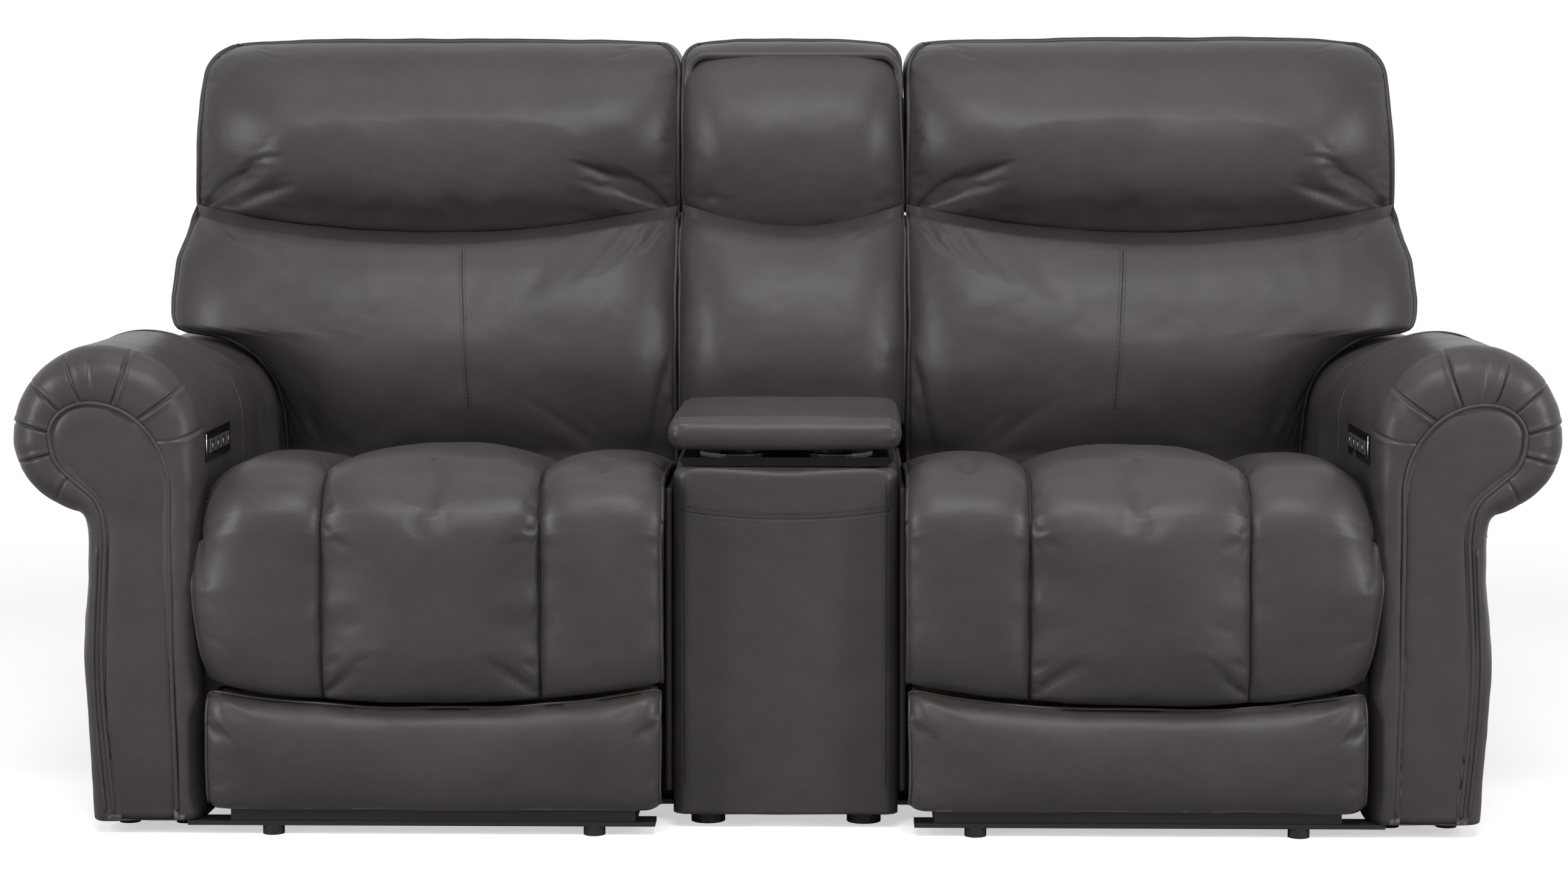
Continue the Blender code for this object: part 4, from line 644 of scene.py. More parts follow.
HARD_FINISHES = {
    "black_steel": hard_material("powder_coated_steel", ((0.012,) * 3, (0.022,) * 3),
                                 (0.32, 0.55), 0.3, scale=900.0, bump=0.25),
    "zinc_steel": hard_material("zinc_plated_steel", ((0.36, 0.36, 0.35), (0.50, 0.50, 0.49)),
                                (0.25, 0.45), 1.0, scale=40.0),
    "polished_steel": hard_material("brushed_steel", ((0.58, 0.58, 0.59), (0.70, 0.70, 0.71)),
                                    (0.14, 0.26), 1.0, stretch=(1.0, 1.0, 14.0), scale=160.0),
    "plywood": hard_material("plywood_board", PLY_TONES, (0.55, 0.75), 0.0,
                             stretch=(0.25, 1.0, 7.0), scale=22.0, bump=0.3),
    "gloss_black": dull(hard_material("gloss_black_plastic", ((0.004,) * 3, (0.007,) * 3),
                                      (0.08, 0.18), 0.0, scale=30.0, bump=0.02), 0.14),
    "black_plastic": hard_material("moulded_black_plastic", ((0.014,) * 3, (0.024,) * 3),
                                   (0.45, 0.65), 0.0, scale=700.0, bump=0.3),
    "cup_steel": two_finishes("cup_steel", ((0.012,) * 3, (0.020,) * 3), (0.34, 0.34, 0.33),
                              "X", CUP_RIM_FROM_X),
    "arm_board": two_finishes("arm_board", PLY_TONES, (0.012,) * 3, "Z", ARM_BOARD_TO_Z,
                              above_outside=False),
    "button_grey": hard_material("button_plastic", ((0.030, 0.030, 0.032), (0.045, 0.045, 0.048)),
                                 (0.30, 0.42), 0.0, scale=500.0, bump=0.12),
}

# %% Give the frame's own parts their finishes
SOFT_WORDS = ("cushion", "pad", "cover", "facing", "lid", "shell", "console_body")


def node_finish(node_name):
    """The finish of a hard node, by what the real part is made of."""
    rules = (
        (("button_",), "button_grey"),
        (("control_panel", "console_tray"), "gloss_black"),
        (("cup_holder",), "cup_steel"),
        (("storage_bin", "console_foot"), "black_plastic"),
        (("arm_frame",), "arm_board"),
        (("back_frame",), "plywood"),
        (("rear_links", "front_links", "headrest_plate", "lid_hinge"), "zinc_steel"),
        (("footrest_board",), "plywood"),
    )
    for starts, finish in rules:
        if node_name.startswith(starts):
            return HARD_FINISHES[finish]
    return HARD_FINISHES["black_steel"]


def is_soft(node_name):
    return any(word in node_name for word in SOFT_WORDS) and not node_name.startswith("lid_hinge")


for node_name, node_object in frame["nodes"].items():
    finish = LEATHER if is_soft(node_name) else node_finish(node_name)
    node_object.data.materials.clear()
    node_object.data.materials.append(finish)
print("finished nodes", len(frame["nodes"]))

# %% [markdown]
# ## Seats and upper footrest pads
# Folded away, the footrest's upper pad carries on the seat's three channels, so seat and pad read
# as one waterfall of leather. The real maker sews both from the same pattern. Here both are one
# sheet too: it is laid over the seat's top and nose and down to the pad's curved lower edge, sewn
# down along two valleys, swollen as cloth, and only then cut in two where the footrest swings out.

# %% Seat profile and channels
seat_low, seat_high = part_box("seat_cushion_right")
pad_low, pad_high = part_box("footrest_upper_pad_right")
ARM_FACE_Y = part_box("arm_facing_right")[0].y
CHANNEL_WIDTH = 0.160
CHANNEL_COLUMNS = (28, 46, 36)
CHANNEL_DEPTH = 0.026
CHANNEL_POWERS = (3.2, 4.2, 3.2)
SIDE_CHANNEL_DROP = 0.004
OUTER_SHOULDER = (0.085, 0.046)
INNER_SHOULDER = (0.040, 0.012)
SEAT_DROP = 0.047
NOSE_RADIUS = 0.100
DECK_Z = seat_low.z
SLOPE_FOOT_Y = -0.390
SLOPE_RISE = 0.130 / 0.110
SLOPE_ANGLE = math.atan(SLOPE_RISE)
UPPER_SIDE_Z = 0.204
UPPER_SMILE = 0.027
EDGE_DRAW = 0.024
PAD_INNER_X = pad_low.x + 0.001
PAD_OUTER_X = pad_high.x - 0.001
PAD_TAPER = (0.045, 0.022)
PAD_TAPER_INNER = (0.030, 0.010)
PAD_TAPER_RUN = 0.11
PAD_OVERHANG = 0.014
SEAT_ROWS = 62
PAD_ROWS = 58
JOINT_SHARE = SEAT_ROWS / (SEAT_ROWS + PAD_ROWS)


def slope_z(y):
    """Height of the joint between the seat and the footrest behind the front panel."""
    return DECK_Z + (SLOPE_FOOT_Y - y) * SLOPE_RISE


def channel_place(u, low, high):
    """For a column u: where it lies across the seat, its share from crown to valley, its channel."""
    edges = (low, seat_low.x + CHANNEL_WIDTH, seat_high.x - CHANNEL_WIDTH, high)
    column = u * sum(CHANNEL_COLUMNS)
    for channel, count in enumerate(CHANNEL_COLUMNS):
        if column <= count + 1e-4:
            part = 0.5 - 0.5 * math.cos(math.pi * clamp(column / count))
            return lerp(edges[channel], edges[channel + 1], part), abs(2 * part - 1), channel
        column -= count
    return high, 1.0, 2


def pillow_fall(share, channel):
    """Drop from a channel's crown at a share of the way to its valley."""
    return CHANNEL_DEPTH * (1 - math.sqrt(max(0.0, 1 - share ** CHANNEL_POWERS[channel])))


def gather(place, share, seed):
    """Small folds that the stitching pulls into the leather close to a valley."""
    near = math.exp(-(1 - share) * 8.0) - math.exp(-8.0)
    return 0.0032 * near * noise.noise(Vector((seed, place * 30.0, share * 1.5)))


SWELL_ROOM = 0.009
nose_y = seat_low.y + SWELL_ROOM * 0.7
crown_z = seat_high.z - SWELL_ROOM


def nose_point(angle):
    """A point of the round nose. The angle is that of its normal above the horizontal."""
    return (nose_y + NOSE_RADIUS * (1 - math.cos(angle)),
            crown_z - NOSE_RADIUS * (1 - math.sin(angle)))


def find_joint():
    """The angle at which the nose meets the sloping joint, by halving."""
    low, high = 0.0, math.pi / 2
    for _ in range(30):
        middle = (low + high) / 2
        y, z = nose_point(middle)
        low, high = (middle, high) if z < slope_z(y) else (low, middle)
    return low


JOINT_ANGLE = find_joint()
print("joint meets the nose at", round(math.degrees(JOINT_ANGLE), 1), "degrees")


def seat_side_view():
    """The seat's upper surface from the rear, over the crown and down the nose to the joint."""
    flat = [
        (lerp(nose_y + NOSE_RADIUS, seat_high.y, 1 - i / 24), crown_z - SEAT_DROP * (1 - i / 24) ** 1.5)
        for i in range(24)
    ]
    return flat + [nose_point(lerp(math.pi / 2, JOINT_ANGLE, i / 20)) for i in range(21)]


SEAT_PATH = seat_side_view()


def pad_share(x):
    """From -1 to 1 across the pad."""
    return clamp(2 * (x - PAD_INNER_X) / (PAD_OUTER_X - PAD_INNER_X) - 1, -1.0, 1.0)


def upper_bottom(x):
    """Height of the pad's curved lower edge."""
    return UPPER_SIDE_Z - UPPER_SMILE * (1 - abs(pad_share(x)) ** 2.4)


def pad_side_view(x):
    """The pad's front from the joint down to its lower edge, where it turns under."""
    bottom = upper_bottom(x)
    return [nose_point(lerp(JOINT_ANGLE, 0.06, i / 6)) for i in range(7)] + [
        (nose_y - 0.0015, 0.330),
        (nose_y - 0.0025, bottom + 0.070),
        (nose_y - 0.0005, bottom + 0.036),
        (nose_y + 0.0080, bottom + 0.012),
        (nose_y + 0.0200, bottom + 0.0015),
        (nose_y + 0.0320, bottom),
    ]


def fall_direction(v, y, z):
    """The stitching pulls down on the top, along the cut at the joint, and straight back below."""
    if v <= JOINT_SHARE:
        lift = clamp((y - nose_point(JOINT_ANGLE)[0]) / (NOSE_RADIUS * 0.9))
        angle = lerp(SLOPE_ANGLE, math.pi / 2, lift)
    else:
        angle = SLOPE_ANGLE * clamp((z - 0.360) / (nose_point(JOINT_ANGLE)[1] - 0.360))
    return Vector((math.cos(angle), -math.sin(angle)))


def shoulder_fall(x, low, high, y):
    """The outer corner of the seat is rounded far more than the one beside the console."""
    outer_reach, outer_drop = OUTER_SHOULDER
    inner_reach, inner_drop = INNER_SHOULDER
    forward = clamp((-0.10 - y) / 0.25, 0.35, 1.0)
    outer = edge_fall(high - x, outer_reach, outer_drop)
    return forward * (outer + edge_fall(x - low, inner_reach, inner_drop))


def sheet_rule(u, v):
    """Seat above the joint's row, pad below it, on one set of columns."""
    if v <= JOINT_SHARE + 1e-6:
        x, share, channel = channel_place(u, seat_low.x, seat_high.x)
        y, z = along(SEAT_PATH, 1 - max(0.0, 1 - v / JOINT_SHARE) ** 1.25)
        ends = 1.0
        shoulder = shoulder_fall(x, seat_low.x, seat_high.x, y)
    else:
        down = (v - JOINT_SHARE) / (1 - JOINT_SHARE)
        wide = 0.5 - 0.5 * math.cos(math.pi * clamp(down / 0.12))
        x, share, channel = channel_place(
            u, lerp(seat_low.x, PAD_INNER_X, wide), lerp(seat_high.x, PAD_OUTER_X, wide))
        y, z = along(smooth_path(pad_side_view(x), 4), down)
        ends = lerp(0.45, 1.0, clamp((1 - down) / 0.10))
        taper = edge_fall(seat_high.x + PAD_OVERHANG - x, *PAD_TAPER)
        taper += edge_fall(x - seat_low.x, *PAD_TAPER_INNER)
        below = clamp((nose_point(JOINT_ANGLE)[1] - z) / PAD_TAPER_RUN)
        shoulder = lerp(shoulder_fall(x, seat_low.x, seat_high.x, nose_y), taper, below)
        pucker = math.exp(-((1 - down) / 0.06) ** 2)
        shoulder += 0.0016 * pucker * noise.noise(Vector((x * 42.0, 2.0, down * 2)))
        draw = EDGE_DRAW * clamp((0.345 - z) / 0.145) ** 1.5
        x -= draw * clamp((x - seat_high.x + 0.10) / 0.10)
    edge = clamp(min(x - seat_low.x, seat_high.x - x) / 0.050)
    fall = pillow_fall(share, channel) * lerp(0.4, 1.0, edge)
    fall += (SIDE_CHANNEL_DROP if channel != 1 else 0.0) + gather(y + z, share, 3.0 * channel)
    fall = fall * ends + shoulder
    direction = fall_direction(v, y, z)
    return Vector((x, y + direction.x * fall, z + direction.y * fall))


def sheet_pinned(vert):
    edges = (seat_low.x + CHANNEL_WIDTH, seat_high.x - CHANNEL_WIDTH)
    return vert.is_boundary or min(abs(vert.co.x - edge) for edge in edges) < 0.0012


sheet = panel(sum(CHANNEL_COLUMNS), SEAT_ROWS + PAD_ROWS, sheet_rule)
face_toward(sheet, (0, -0.5, 1))
puff(sheet, sheet_pinned, 0.010)
print("one sheet for seat and pad", len(sheet.faces), "faces")

# %% [markdown]
# ### Cut the sheet in two
# Each point remembers its row in the grid, so the row of the joint is where the sheet is cut.
# The cut's edges are marked sharp. Each half then gets its own depth. The seat's sides go down to
# the deck, and its front edge runs back along the slope. The pad's rim goes back to its board.

# %% Cut and deepen seat and pad
CUT_GAP = 0.0003


def cut_sheet(bm, keep_seat):
    """Keep the faces on one side of the joint's row. The rim keeps its numbers."""
    levels = bm.verts.layers.int["row"]
    dropped = [face for face in bm.faces
               if (max(vert[levels] for vert in face.verts) <= SEAT_ROWS) != keep_seat]
    bmesh.ops.delete(bm, geom=dropped, context="FACES")
    for edge in bm.edges:
        if edge.is_boundary:
            edge.smooth = False
    return bm


def seat_rim(depth, draw):
    """A step that carries the seat's rim down its sides, and its front edge back along the slope."""
    def move(co):
        y = clamp(co.y, -0.5, seat_high.y)
        z = lerp(co.z, DECK_Z + 0.004, depth)
        if z < slope_z(y) + CUT_GAP:
            y = lerp(y, SLOPE_FOOT_Y + 0.010, depth)
            z = max(z, slope_z(y) + CUT_GAP) if y < SLOPE_FOOT_Y else max(z, DECK_Z + 0.002)
        middle = (seat_low.x + seat_high.x) / 2
        side = 1 if co.x > middle else -1
        inset = draw if min(co.x - seat_low.x, seat_high.x - co.x) < 0.02 else 0.0
        return Vector((co.x - side * inset, y, z))
    return move


def pad_rim(y_goal, draw, under_slope=True):
    """A step that carries a pad's rim back to the board, past the arm where there is room."""
    def move(co):
        x = co.x
        if y_goal > ARM_FACE_Y - 0.010:
            x = min(x, seat_high.x - 0.001)
        middle = (PAD_INNER_X + PAD_OUTER_X) / 2
        if min(x - PAD_INNER_X, PAD_OUTER_X - x) < 0.025:
            x -= draw if x > middle else -draw
        y = max(co.y, y_goal)
        z = min(co.z, slope_z(y) - CUT_GAP) if under_slope else co.z
        return Vector((x, y, z))
    return move


SEAT_STEPS = ((0.12, -0.001), (0.35, 0.0), (0.6, 0.001), (1.0, 0.002))
PAD_BACK_Y = pad_high.y
PAD_STEPS = ((nose_y + 0.034, -0.0005), (ARM_FACE_Y - 0.011, 0.002), (ARM_FACE_Y - 0.008, 0.0),
             (PAD_BACK_Y - 0.001, 0.003))
seat_rims, pad_rims = {}, {}
for seed, side in enumerate(("right", "left")):
    whole = sheet.copy()
    settle(whole, seed + 4, STUFFING)
    seat = cut_sheet(whole.copy(), True)
    pad = cut_sheet(whole, False)
    close_rim(seat, deepen(seat, [seat_rim(*step) for step in SEAT_STEPS]))
    close_rim(pad, deepen(pad, [pad_rim(*step) for step in PAD_STEPS]))
    seat, pad = on_side(seat, side), on_side(pad, side)
    outer_side = SEAT_ROWS + PAD_ROWS + sum(CHANNEL_COLUMNS) + 1
    seat_rims[side] = (rim_line(seat, 1, SEAT_ROWS + 1), rim_line(seat, outer_side))
    pad_rims[side] = (rim_line(pad, 1, SEAT_ROWS + PAD_ROWS + 1), rim_line(pad, outer_side))
    make_piece(seat, f"seat_cover_{side}", LEATHER, f"seat_{side}",
               replaced=(f"seat_cushion_{side}",))
    make_piece(pad, f"footrest_upper_cover_{side}", LEATHER, f"footrest_{side}",
               replaced=(f"footrest_upper_pad_{side}",))
print("seats and upper pads ready")

# %% [markdown]
# ### Lower footrest pad
# The lower pad is plain. It is a stuffed panel on the same board, with a rounded edge all round
# and its top edge following the curve of the pad above.

# %% Lower pad
lower_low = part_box("footrest_lower_pad_right")[0]
LOWER_GAP = 0.007
LOWER_CORNER = 0.022


def lower_rule(u, v):
    part = 0.5 - 0.5 * math.cos(math.pi * u) if 0 < u < 1 else u
    x = lerp(PAD_INNER_X + 0.002, PAD_OUTER_X - 0.020, part)
    top = upper_bottom(x) - LOWER_GAP
    z = lerp(lower_low.z + 0.001, top, v)
    side = min(x - PAD_INNER_X, PAD_OUTER_X - 0.018 - x)
    fall = edge_fall(side, 0.034, 0.020) + edge_fall(z - lower_low.z, 0.030, 0.016)
    fall += edge_fall(top - z, 0.040, 0.026)
    crown = 0.0035 * (1 - abs(pad_share(x)) ** 4) * math.sin(math.pi * v)
    corner = LOWER_CORNER * (1 - math.sqrt(max(0.0, 1 - clamp(1 - side / LOWER_CORNER) ** 2)))
    z += corner * (1 - 2 * v) * 0.5 if v < 0.2 or v > 0.8 else 0.0
    return Vector((x, nose_y + 0.0055 - crown + fall, z))


lower = panel(90, 36, lower_rule)
face_toward(lower, (0, -1, 0))
puff(lower, lambda vert: vert.is_boundary, 0.006)
close_rim(lower, deepen(lower, (
    pad_rim(ARM_FACE_Y - 0.011, 0.0015, False), pad_rim(ARM_FACE_Y - 0.008, 0.0, False),
    pad_rim(PAD_BACK_Y - 0.001, 0.003, False),
)))
lower_rims = both_sides(lower, "footrest_lower_cover", LEATHER, "footrest_{}",
                        node="footrest_lower_pad")

# %% [markdown]
# ## Backs
# A back has two panels. The lumbar panel leans back, faces up under the seam, is fullest low down
# and turns under at the seat. The head pillow bulges over it along a curved seam, like a smile.
# Its lower third turns under into shade, and it rolls over the top. The panels ride on different
# bodies, because the headrest tilts. The narrow centre back repeats them.

# %% Lumbar panel
back_low, back_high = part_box("back_cushion_right")
head_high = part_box("headrest_cushion_right")[1]
centre_low, centre_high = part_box("centre_back_cushion")
crest_low, crest_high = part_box("centre_head_cushion")
cover_low, cover_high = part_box("arm_cover_right")
FOOT_Z = back_low.z
SEAM_END_Z = 0.805
SEAM_DIP = 0.042
ROLL_MIDDLE_X = 0.906
WING_SPRING_Z = 0.520
WING_TOP_Z = cover_high.z - 0.018
WING_ACROSS = 0.144
LOWER_OUTER_X = 0.759
LUMBAR_EDGE = (
    (0.632, 0.906), (0.636, 0.916), (0.643, 0.9215), (0.655, 0.925), (0.680, 0.9265), (0.736, 0.9215),
    (0.7715, 0.909), (0.800, 0.903), (0.830, 0.901),
)
SIDE_ROLL = 0.020
SIDE_REACH = 0.135
LUMBAR_SIDE_VIEW = (
    (0.104, 0.455), (0.090, 0.490), (0.079, 0.530), (0.073, 0.575), (0.077, 0.620), (0.090, 0.670),
    (0.110, 0.720), (0.134, 0.765), (0.160, 0.805), (0.172, 0.820),
)


def lumbar_y(z):
    """The front of the lumbar panel at a height, from its side view."""
    for (y0, z0), (y1, z1) in zip(LUMBAR_LINE, LUMBAR_LINE[1:]):
        if z <= z1:
            return lerp(y0, y1, clamp((z - z0) / (z1 - z0)))
    return LUMBAR_LINE[-1][0]


LUMBAR_LINE = smooth_path(LUMBAR_SIDE_VIEW, 8)


def lumbar_edge(z):
    """The outer edge above the arm: rounded out at its lower corner, drawn in at the seam."""
    for (z0, x0), (z1, x1) in zip(LUMBAR_EDGE, LUMBAR_EDGE[1:]):
        if z <= z1:
            return lerp(x0, x1, clamp((z - z0) / (z1 - z0)))
    return LUMBAR_EDGE[-1][1]


def smile_z(share, dip=SEAM_DIP):
    """Height of the seam under the head pillow, from -1 to 1 across."""
    return SEAM_END_Z - dip * (1 - share * share)


def wing_x(z):
    """The outer edge of the back: between the arms below, spread over them above."""
    rise = (z - WING_SPRING_Z) / (WING_TOP_Z - WING_SPRING_Z)
    if rise <= 0:
        return LOWER_OUTER_X
    if rise >= 1:
        return lumbar_edge(z)
    return ROLL_MIDDLE_X - WING_ACROSS * math.sqrt(1 - rise * rise)


def crowded(u):
    """Columns crowd towards both edges, where the leather turns."""
    return lerp(u, 0.5 - 0.5 * math.cos(math.pi * u), 0.75)


def seam_gathers(x, below, seed):
    """Small folds that run away from the seam, deepest at the seam."""
    fold = noise.noise(Vector((x * 55.0, seed, below * 12.0)))
    return 0.0022 * math.exp(-below / 0.022) * fold


def lumbar_rule(low_x, outer, foot, dip, edge_reach):
    def rule(u, v):
        part = crowded(u)
        share = 2 * part - 1
        top = smile_z(share, dip)
        z = lerp(foot, top - SOFT_GAP, lerp(v, 1 - (1 - v) ** 1.6, 0.7))
        high_x = outer(z)
        x = lerp(low_x, high_x, part)
        side = min(x - low_x, high_x - x)
        fall = edge_fall(side, edge_reach, 0.030) + SIDE_ROLL * clamp(1 - side / SIDE_REACH) ** 2
        fall += edge_fall(top - z, 0.032, 0.022) + seam_gathers(x, top - z, 4.0)
        corner = clamp(1 - abs(z - 0.600) / 0.070) * clamp(1 - (high_x - x) / 0.060)
        fall += 0.0030 * corner * noise.noise(Vector((x * 46.0, z * 40.0, 7.0)))
        return Vector((x, lumbar_y(z) + fall, z))
    return rule


SEAM_LIP = 0.015
LUMBAR_ROWS = 88
CENTRE_ROWS = 72


def back_rim(y_goal, draw, outer_middle, lip=0.0):
    """Carry the rim back. It rises a little at the seam, so no light shows under the pillow."""
    def move(co):
        side = 1 if co.x > outer_middle else -1
        z = co.z + lip * clamp((co.z - 0.735) / 0.020)
        return Vector((co.x - side * draw, max(co.y + 0.004, y_goal), z))
    return move


SHELL_FRONT_Y = back_high.y
lumbar = panel(96, LUMBAR_ROWS, lumbar_rule(back_low.x, wing_x, FOOT_Z + 0.004, SEAM_DIP, 0.085))
face_toward(lumbar, (0, -1, 0))
puff(lumbar, lambda vert: vert.is_boundary, 0.010)
close_rim(lumbar, deepen(lumbar, (
    back_rim(0.165, -0.002, 0.5), back_rim(0.205, -0.002, 0.5, SEAM_LIP),
    back_rim(SHELL_FRONT_Y, 0.0, 0.5),
)))
lumbar_rims = both_sides(lumbar, "lumbar_cover", LEATHER, "back_{}", node="back_cushion")

# %% Head pillow
PILLOW_SIDE_VIEW = (
    (0.2180, 0.0060), (0.2040, 0.0030), (0.1940, 0.0140), (0.1850, 0.0370), (0.1770, 0.0680),
    (0.1725, 0.1000), (0.1740, 0.1320), (0.1820, 0.1640), (0.1960, 0.1940), (0.2160, 0.2220),
    (0.2420, 0.2460), (0.2700, 0.2590), (0.3000, 0.2630),
)
TOP_Z = head_high.z
TOP_CORNER = 0.055
PILLOW_RISE = 0.263
HEAD_TAPER = 0.014


def pillow_rule(low_x, high_x, dip, taper, corner, edge_reach):
    path = smooth_path(PILLOW_SIDE_VIEW, 6)

    def rule(u, v):
        part = crowded(u)
        share = 2 * part - 1
        y, rise = along(path, v)
        seam = smile_z(share, dip)
        z = lerp(seam, TOP_Z - 0.002, rise / PILLOW_RISE)
        up = clamp((z - SEAM_END_Z) / PILLOW_RISE)
        round_in = corner * (1 - math.sqrt(max(0.0, 1 - clamp((z - TOP_Z + corner) / corner) ** 2)))
        low = low_x + round_in * (0.75 if taper > 0.01 else 1.0)
        high = high_x - taper * up - round_in
        x = lerp(low, high, part)
        side = min(x - low, high - x)
        sides = edge_fall(side, edge_reach, 0.028) + SIDE_ROLL * clamp(1 - side / SIDE_REACH) ** 2
        fall = sides * lerp(1.0, 0.45, clamp((y - 0.2) / 0.1))
        fall += seam_gathers(x, max(0.0, z - seam), 9.0) * clamp(v / 0.05)
        sag = 0.006 * clamp((v - 0.7) / 0.3) * abs(share) ** 4
        return Vector((x, y + fall, z - sag))
    return rule


def head_rim(y_goal, swell, middle_x):
    def move(co):
        side = 1 if co.x > middle_x else -1
        rise = clamp((co.z - SEAM_END_Z) / PILLOW_RISE)
        y = max(co.y + 0.004, y_goal)
        z = co.z + swell * rise - clamp((y - 0.40) / 0.10) * 0.020 * rise
        return Vector((co.x + side * swell, y, z))
    return move


HEAD_REAR_Y = head_high.y
HEAD_STEPS = ((0.315, 0.003), (0.350, 0.002), (0.400, 0.0), (0.450, -0.001), (0.485, -0.003),
              (HEAD_REAR_Y - 0.010, -0.006))
pillow = panel(96, 88, pillow_rule(back_low.x, back_high.x - 0.004, SEAM_DIP, HEAD_TAPER,
                                   TOP_CORNER, 0.080))
face_toward(pillow, (0, -1, 0.2))
puff(pillow, lambda vert: vert.is_boundary, 0.010)
close_rim(pillow, deepen(pillow, [head_rim(y, swell, 0.54) for y, swell in HEAD_STEPS]), 14,
          (0.0, 0.0013, 0.0))
pillow_rims = both_sides(pillow, "head_pillow_cover", LEATHER, "headrest_{}",
                         node="headrest_cushion")

# %% Centre back, fixed behind the console
CENTRE_DIP = SEAM_DIP * 0.7
CREST_CORNER = 0.036


def centre_head_rim(y_goal, swell):
    def move(co):
        rise = clamp((co.z - SEAM_END_Z) / PILLOW_RISE)
        z = co.z + swell * rise - clamp((y_goal - 0.32) / 0.05) * 0.010 * rise
        return Vector((co.x + math.copysign(swell, co.x), max(co.y + 0.003, y_goal), z))
    return move


centre = panel(60, CENTRE_ROWS, lumbar_rule(centre_low.x, lambda z: centre_high.x, centre_low.z + 0.004,
                                   CENTRE_DIP, 0.070))
face_toward(centre, (0, -1, 0))
puff(centre, lambda vert: vert.is_boundary, 0.009)
close_rim(centre, deepen(centre, (back_rim(0.200, -0.001, 0.0, SEAM_LIP),
                                  back_rim(SHELL_FRONT_Y, 0.0, 0.0))))
settle(centre, 11, STUFFING)
centre_rim = rim_line(centre)
make_piece(centre, "centre_lumbar_cover", LEATHER, "frame",
           replaced=("centre_back_cushion",))

crest = panel(60, 80, pillow_rule(crest_low.x, crest_high.x, CENTRE_DIP, 0.006,
                                  CREST_CORNER, 0.066))
face_toward(crest, (0, -1, 0.2))
puff(crest, lambda vert: vert.is_boundary, 0.009)
close_rim(crest, deepen(crest, [centre_head_rim(y, swell) for y, swell in
                                ((0.312, 0.002), (0.335, 0.0), (crest_high.y, -0.004))]))
settle(crest, 12, STUFFING)
crest_rim = rim_line(crest)
make_piece(crest, "centre_head_cover", LEATHER, "frame",
           replaced=("centre_head_cushion",))
print("centre back ready")

# %% [markdown]
# ## Outside backs
# Behind each back, leather is stretched over a shallow plywood tray. It is a flat panel that
# curves in at its edges, with a wall of its own thickness, open in front for the frame.

# %% Outside back panels
shell_low, shell_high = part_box("back_shell_right")
centre_shell_low, centre_shell_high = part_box("centre_back_shell")
SHELL_WALL = 0.012
SHELL_FOOT_REAR = 0.395
SHELL_EDGE = 0.030
SHELL_TOP_REAR = (0.510, 0.988)
SHELL_FOOT_Z = 0.140
SHELL_LOW_FRONT_Y = 0.318


def rear_y(z):
    """The rear of the outside back leans out towards the top."""
    rise = clamp((z - SHELL_FOOT_Z) / (SHELL_TOP_REAR[1] - SHELL_FOOT_Z))
    return lerp(SHELL_FOOT_REAR, SHELL_TOP_REAR[0], rise)


def shell_rule(low_x, outer, low_z, top):
    def rule(u, v):
        part = crowded(u)
        share = 2 * part - 1
        z = lerp(low_z, top(share), v)
        x = lerp(low_x, outer(z), part)
        side = min(x - low_x, outer(z) - x)
        fall = edge_fall(side, SHELL_EDGE, 0.016) + edge_fall(z - low_z, SHELL_EDGE, 0.014)
        fall += edge_fall(top(share) - z, 0.016, 0.008)
        hollow = 0.003 * math.sin(math.pi * part) * math.sin(math.pi * v)
        return Vector((x, rear_y(z) - fall - hollow, z))
    return rule


def shell_rim(y_goal):
    def move(co):
        goal = y_goal if co.z > FOOT_Z else max(y_goal, SHELL_LOW_FRONT_Y)
        return Vector((co.x, min(co.y - 0.003, goal), co.z))
    return move


def shell_piece(bm, name, body, node):
    face_toward(bm, (0, 1, 0))
    deepen(bm, (shell_rim(0.420), shell_rim(0.340), shell_rim(SHELL_FRONT_Y + 0.001)))
    bmesh.ops.recalc_face_normals(bm, faces=bm.faces)
    face_toward(bm, (0, 1, 0))
    bmesh.ops.solidify(bm, geom=list(bm.faces), thickness=SHELL_WALL)
    make_piece(bm, name, LEATHER, body, replaced=(node,))


def side_shell_edge(z):
    return min(wing_x(z), shell_high.x)


for side, sign in SIDES:
    shell = panel(72, 64, shell_rule(shell_low.x, side_shell_edge, shell_low.z + 0.001,
                                     lambda share: smile_z(share) - SOFT_GAP * 1.5))
    shell_piece(on_side(shell, side), f"outside_back_{side}", f"back_{side}", f"back_shell_{side}")

# %% [markdown]
# The centre's outside back reaches the top. Its top edge rolls forward over the frame and meets the
# head pillow just under the pillow's own top, so nothing of it shows from the front.

# %% Centre outside back
CENTRE_TOP_DROP = 0.012
CENTRE_TOP_ROLL = 0.070


def centre_shell_top(share):
    """The top of the centre's outside back: level, with rounded corners."""
    corner = clamp((abs(share) * centre_high.x - centre_high.x + CREST_CORNER) / CREST_CORNER)
    return centre_shell_high.z - CENTRE_TOP_DROP - CREST_CORNER * (1 - math.sqrt(1 - corner ** 2))


def centre_shell_rule(u, v):
    part = crowded(u)
    share = 2 * part - 1
    top = centre_shell_top(share)
    z = lerp(centre_shell_low.z + 0.001, top, 1 - (1 - v) ** 1.6)
    half = centre_shell_high.x
    x = lerp(-half, half, part)
    side = half - abs(x)
    fall = edge_fall(side, SHELL_EDGE, 0.016) + edge_fall(z - centre_shell_low.z, SHELL_EDGE, 0.014)
    fall += edge_fall(top - z, 0.080, CENTRE_TOP_ROLL)
    return Vector((x, rear_y(z) - fall, z))


shell_piece(panel(44, 64, centre_shell_rule), "centre_outside_back", "frame", "centre_back_shell")
print("outside backs ready")

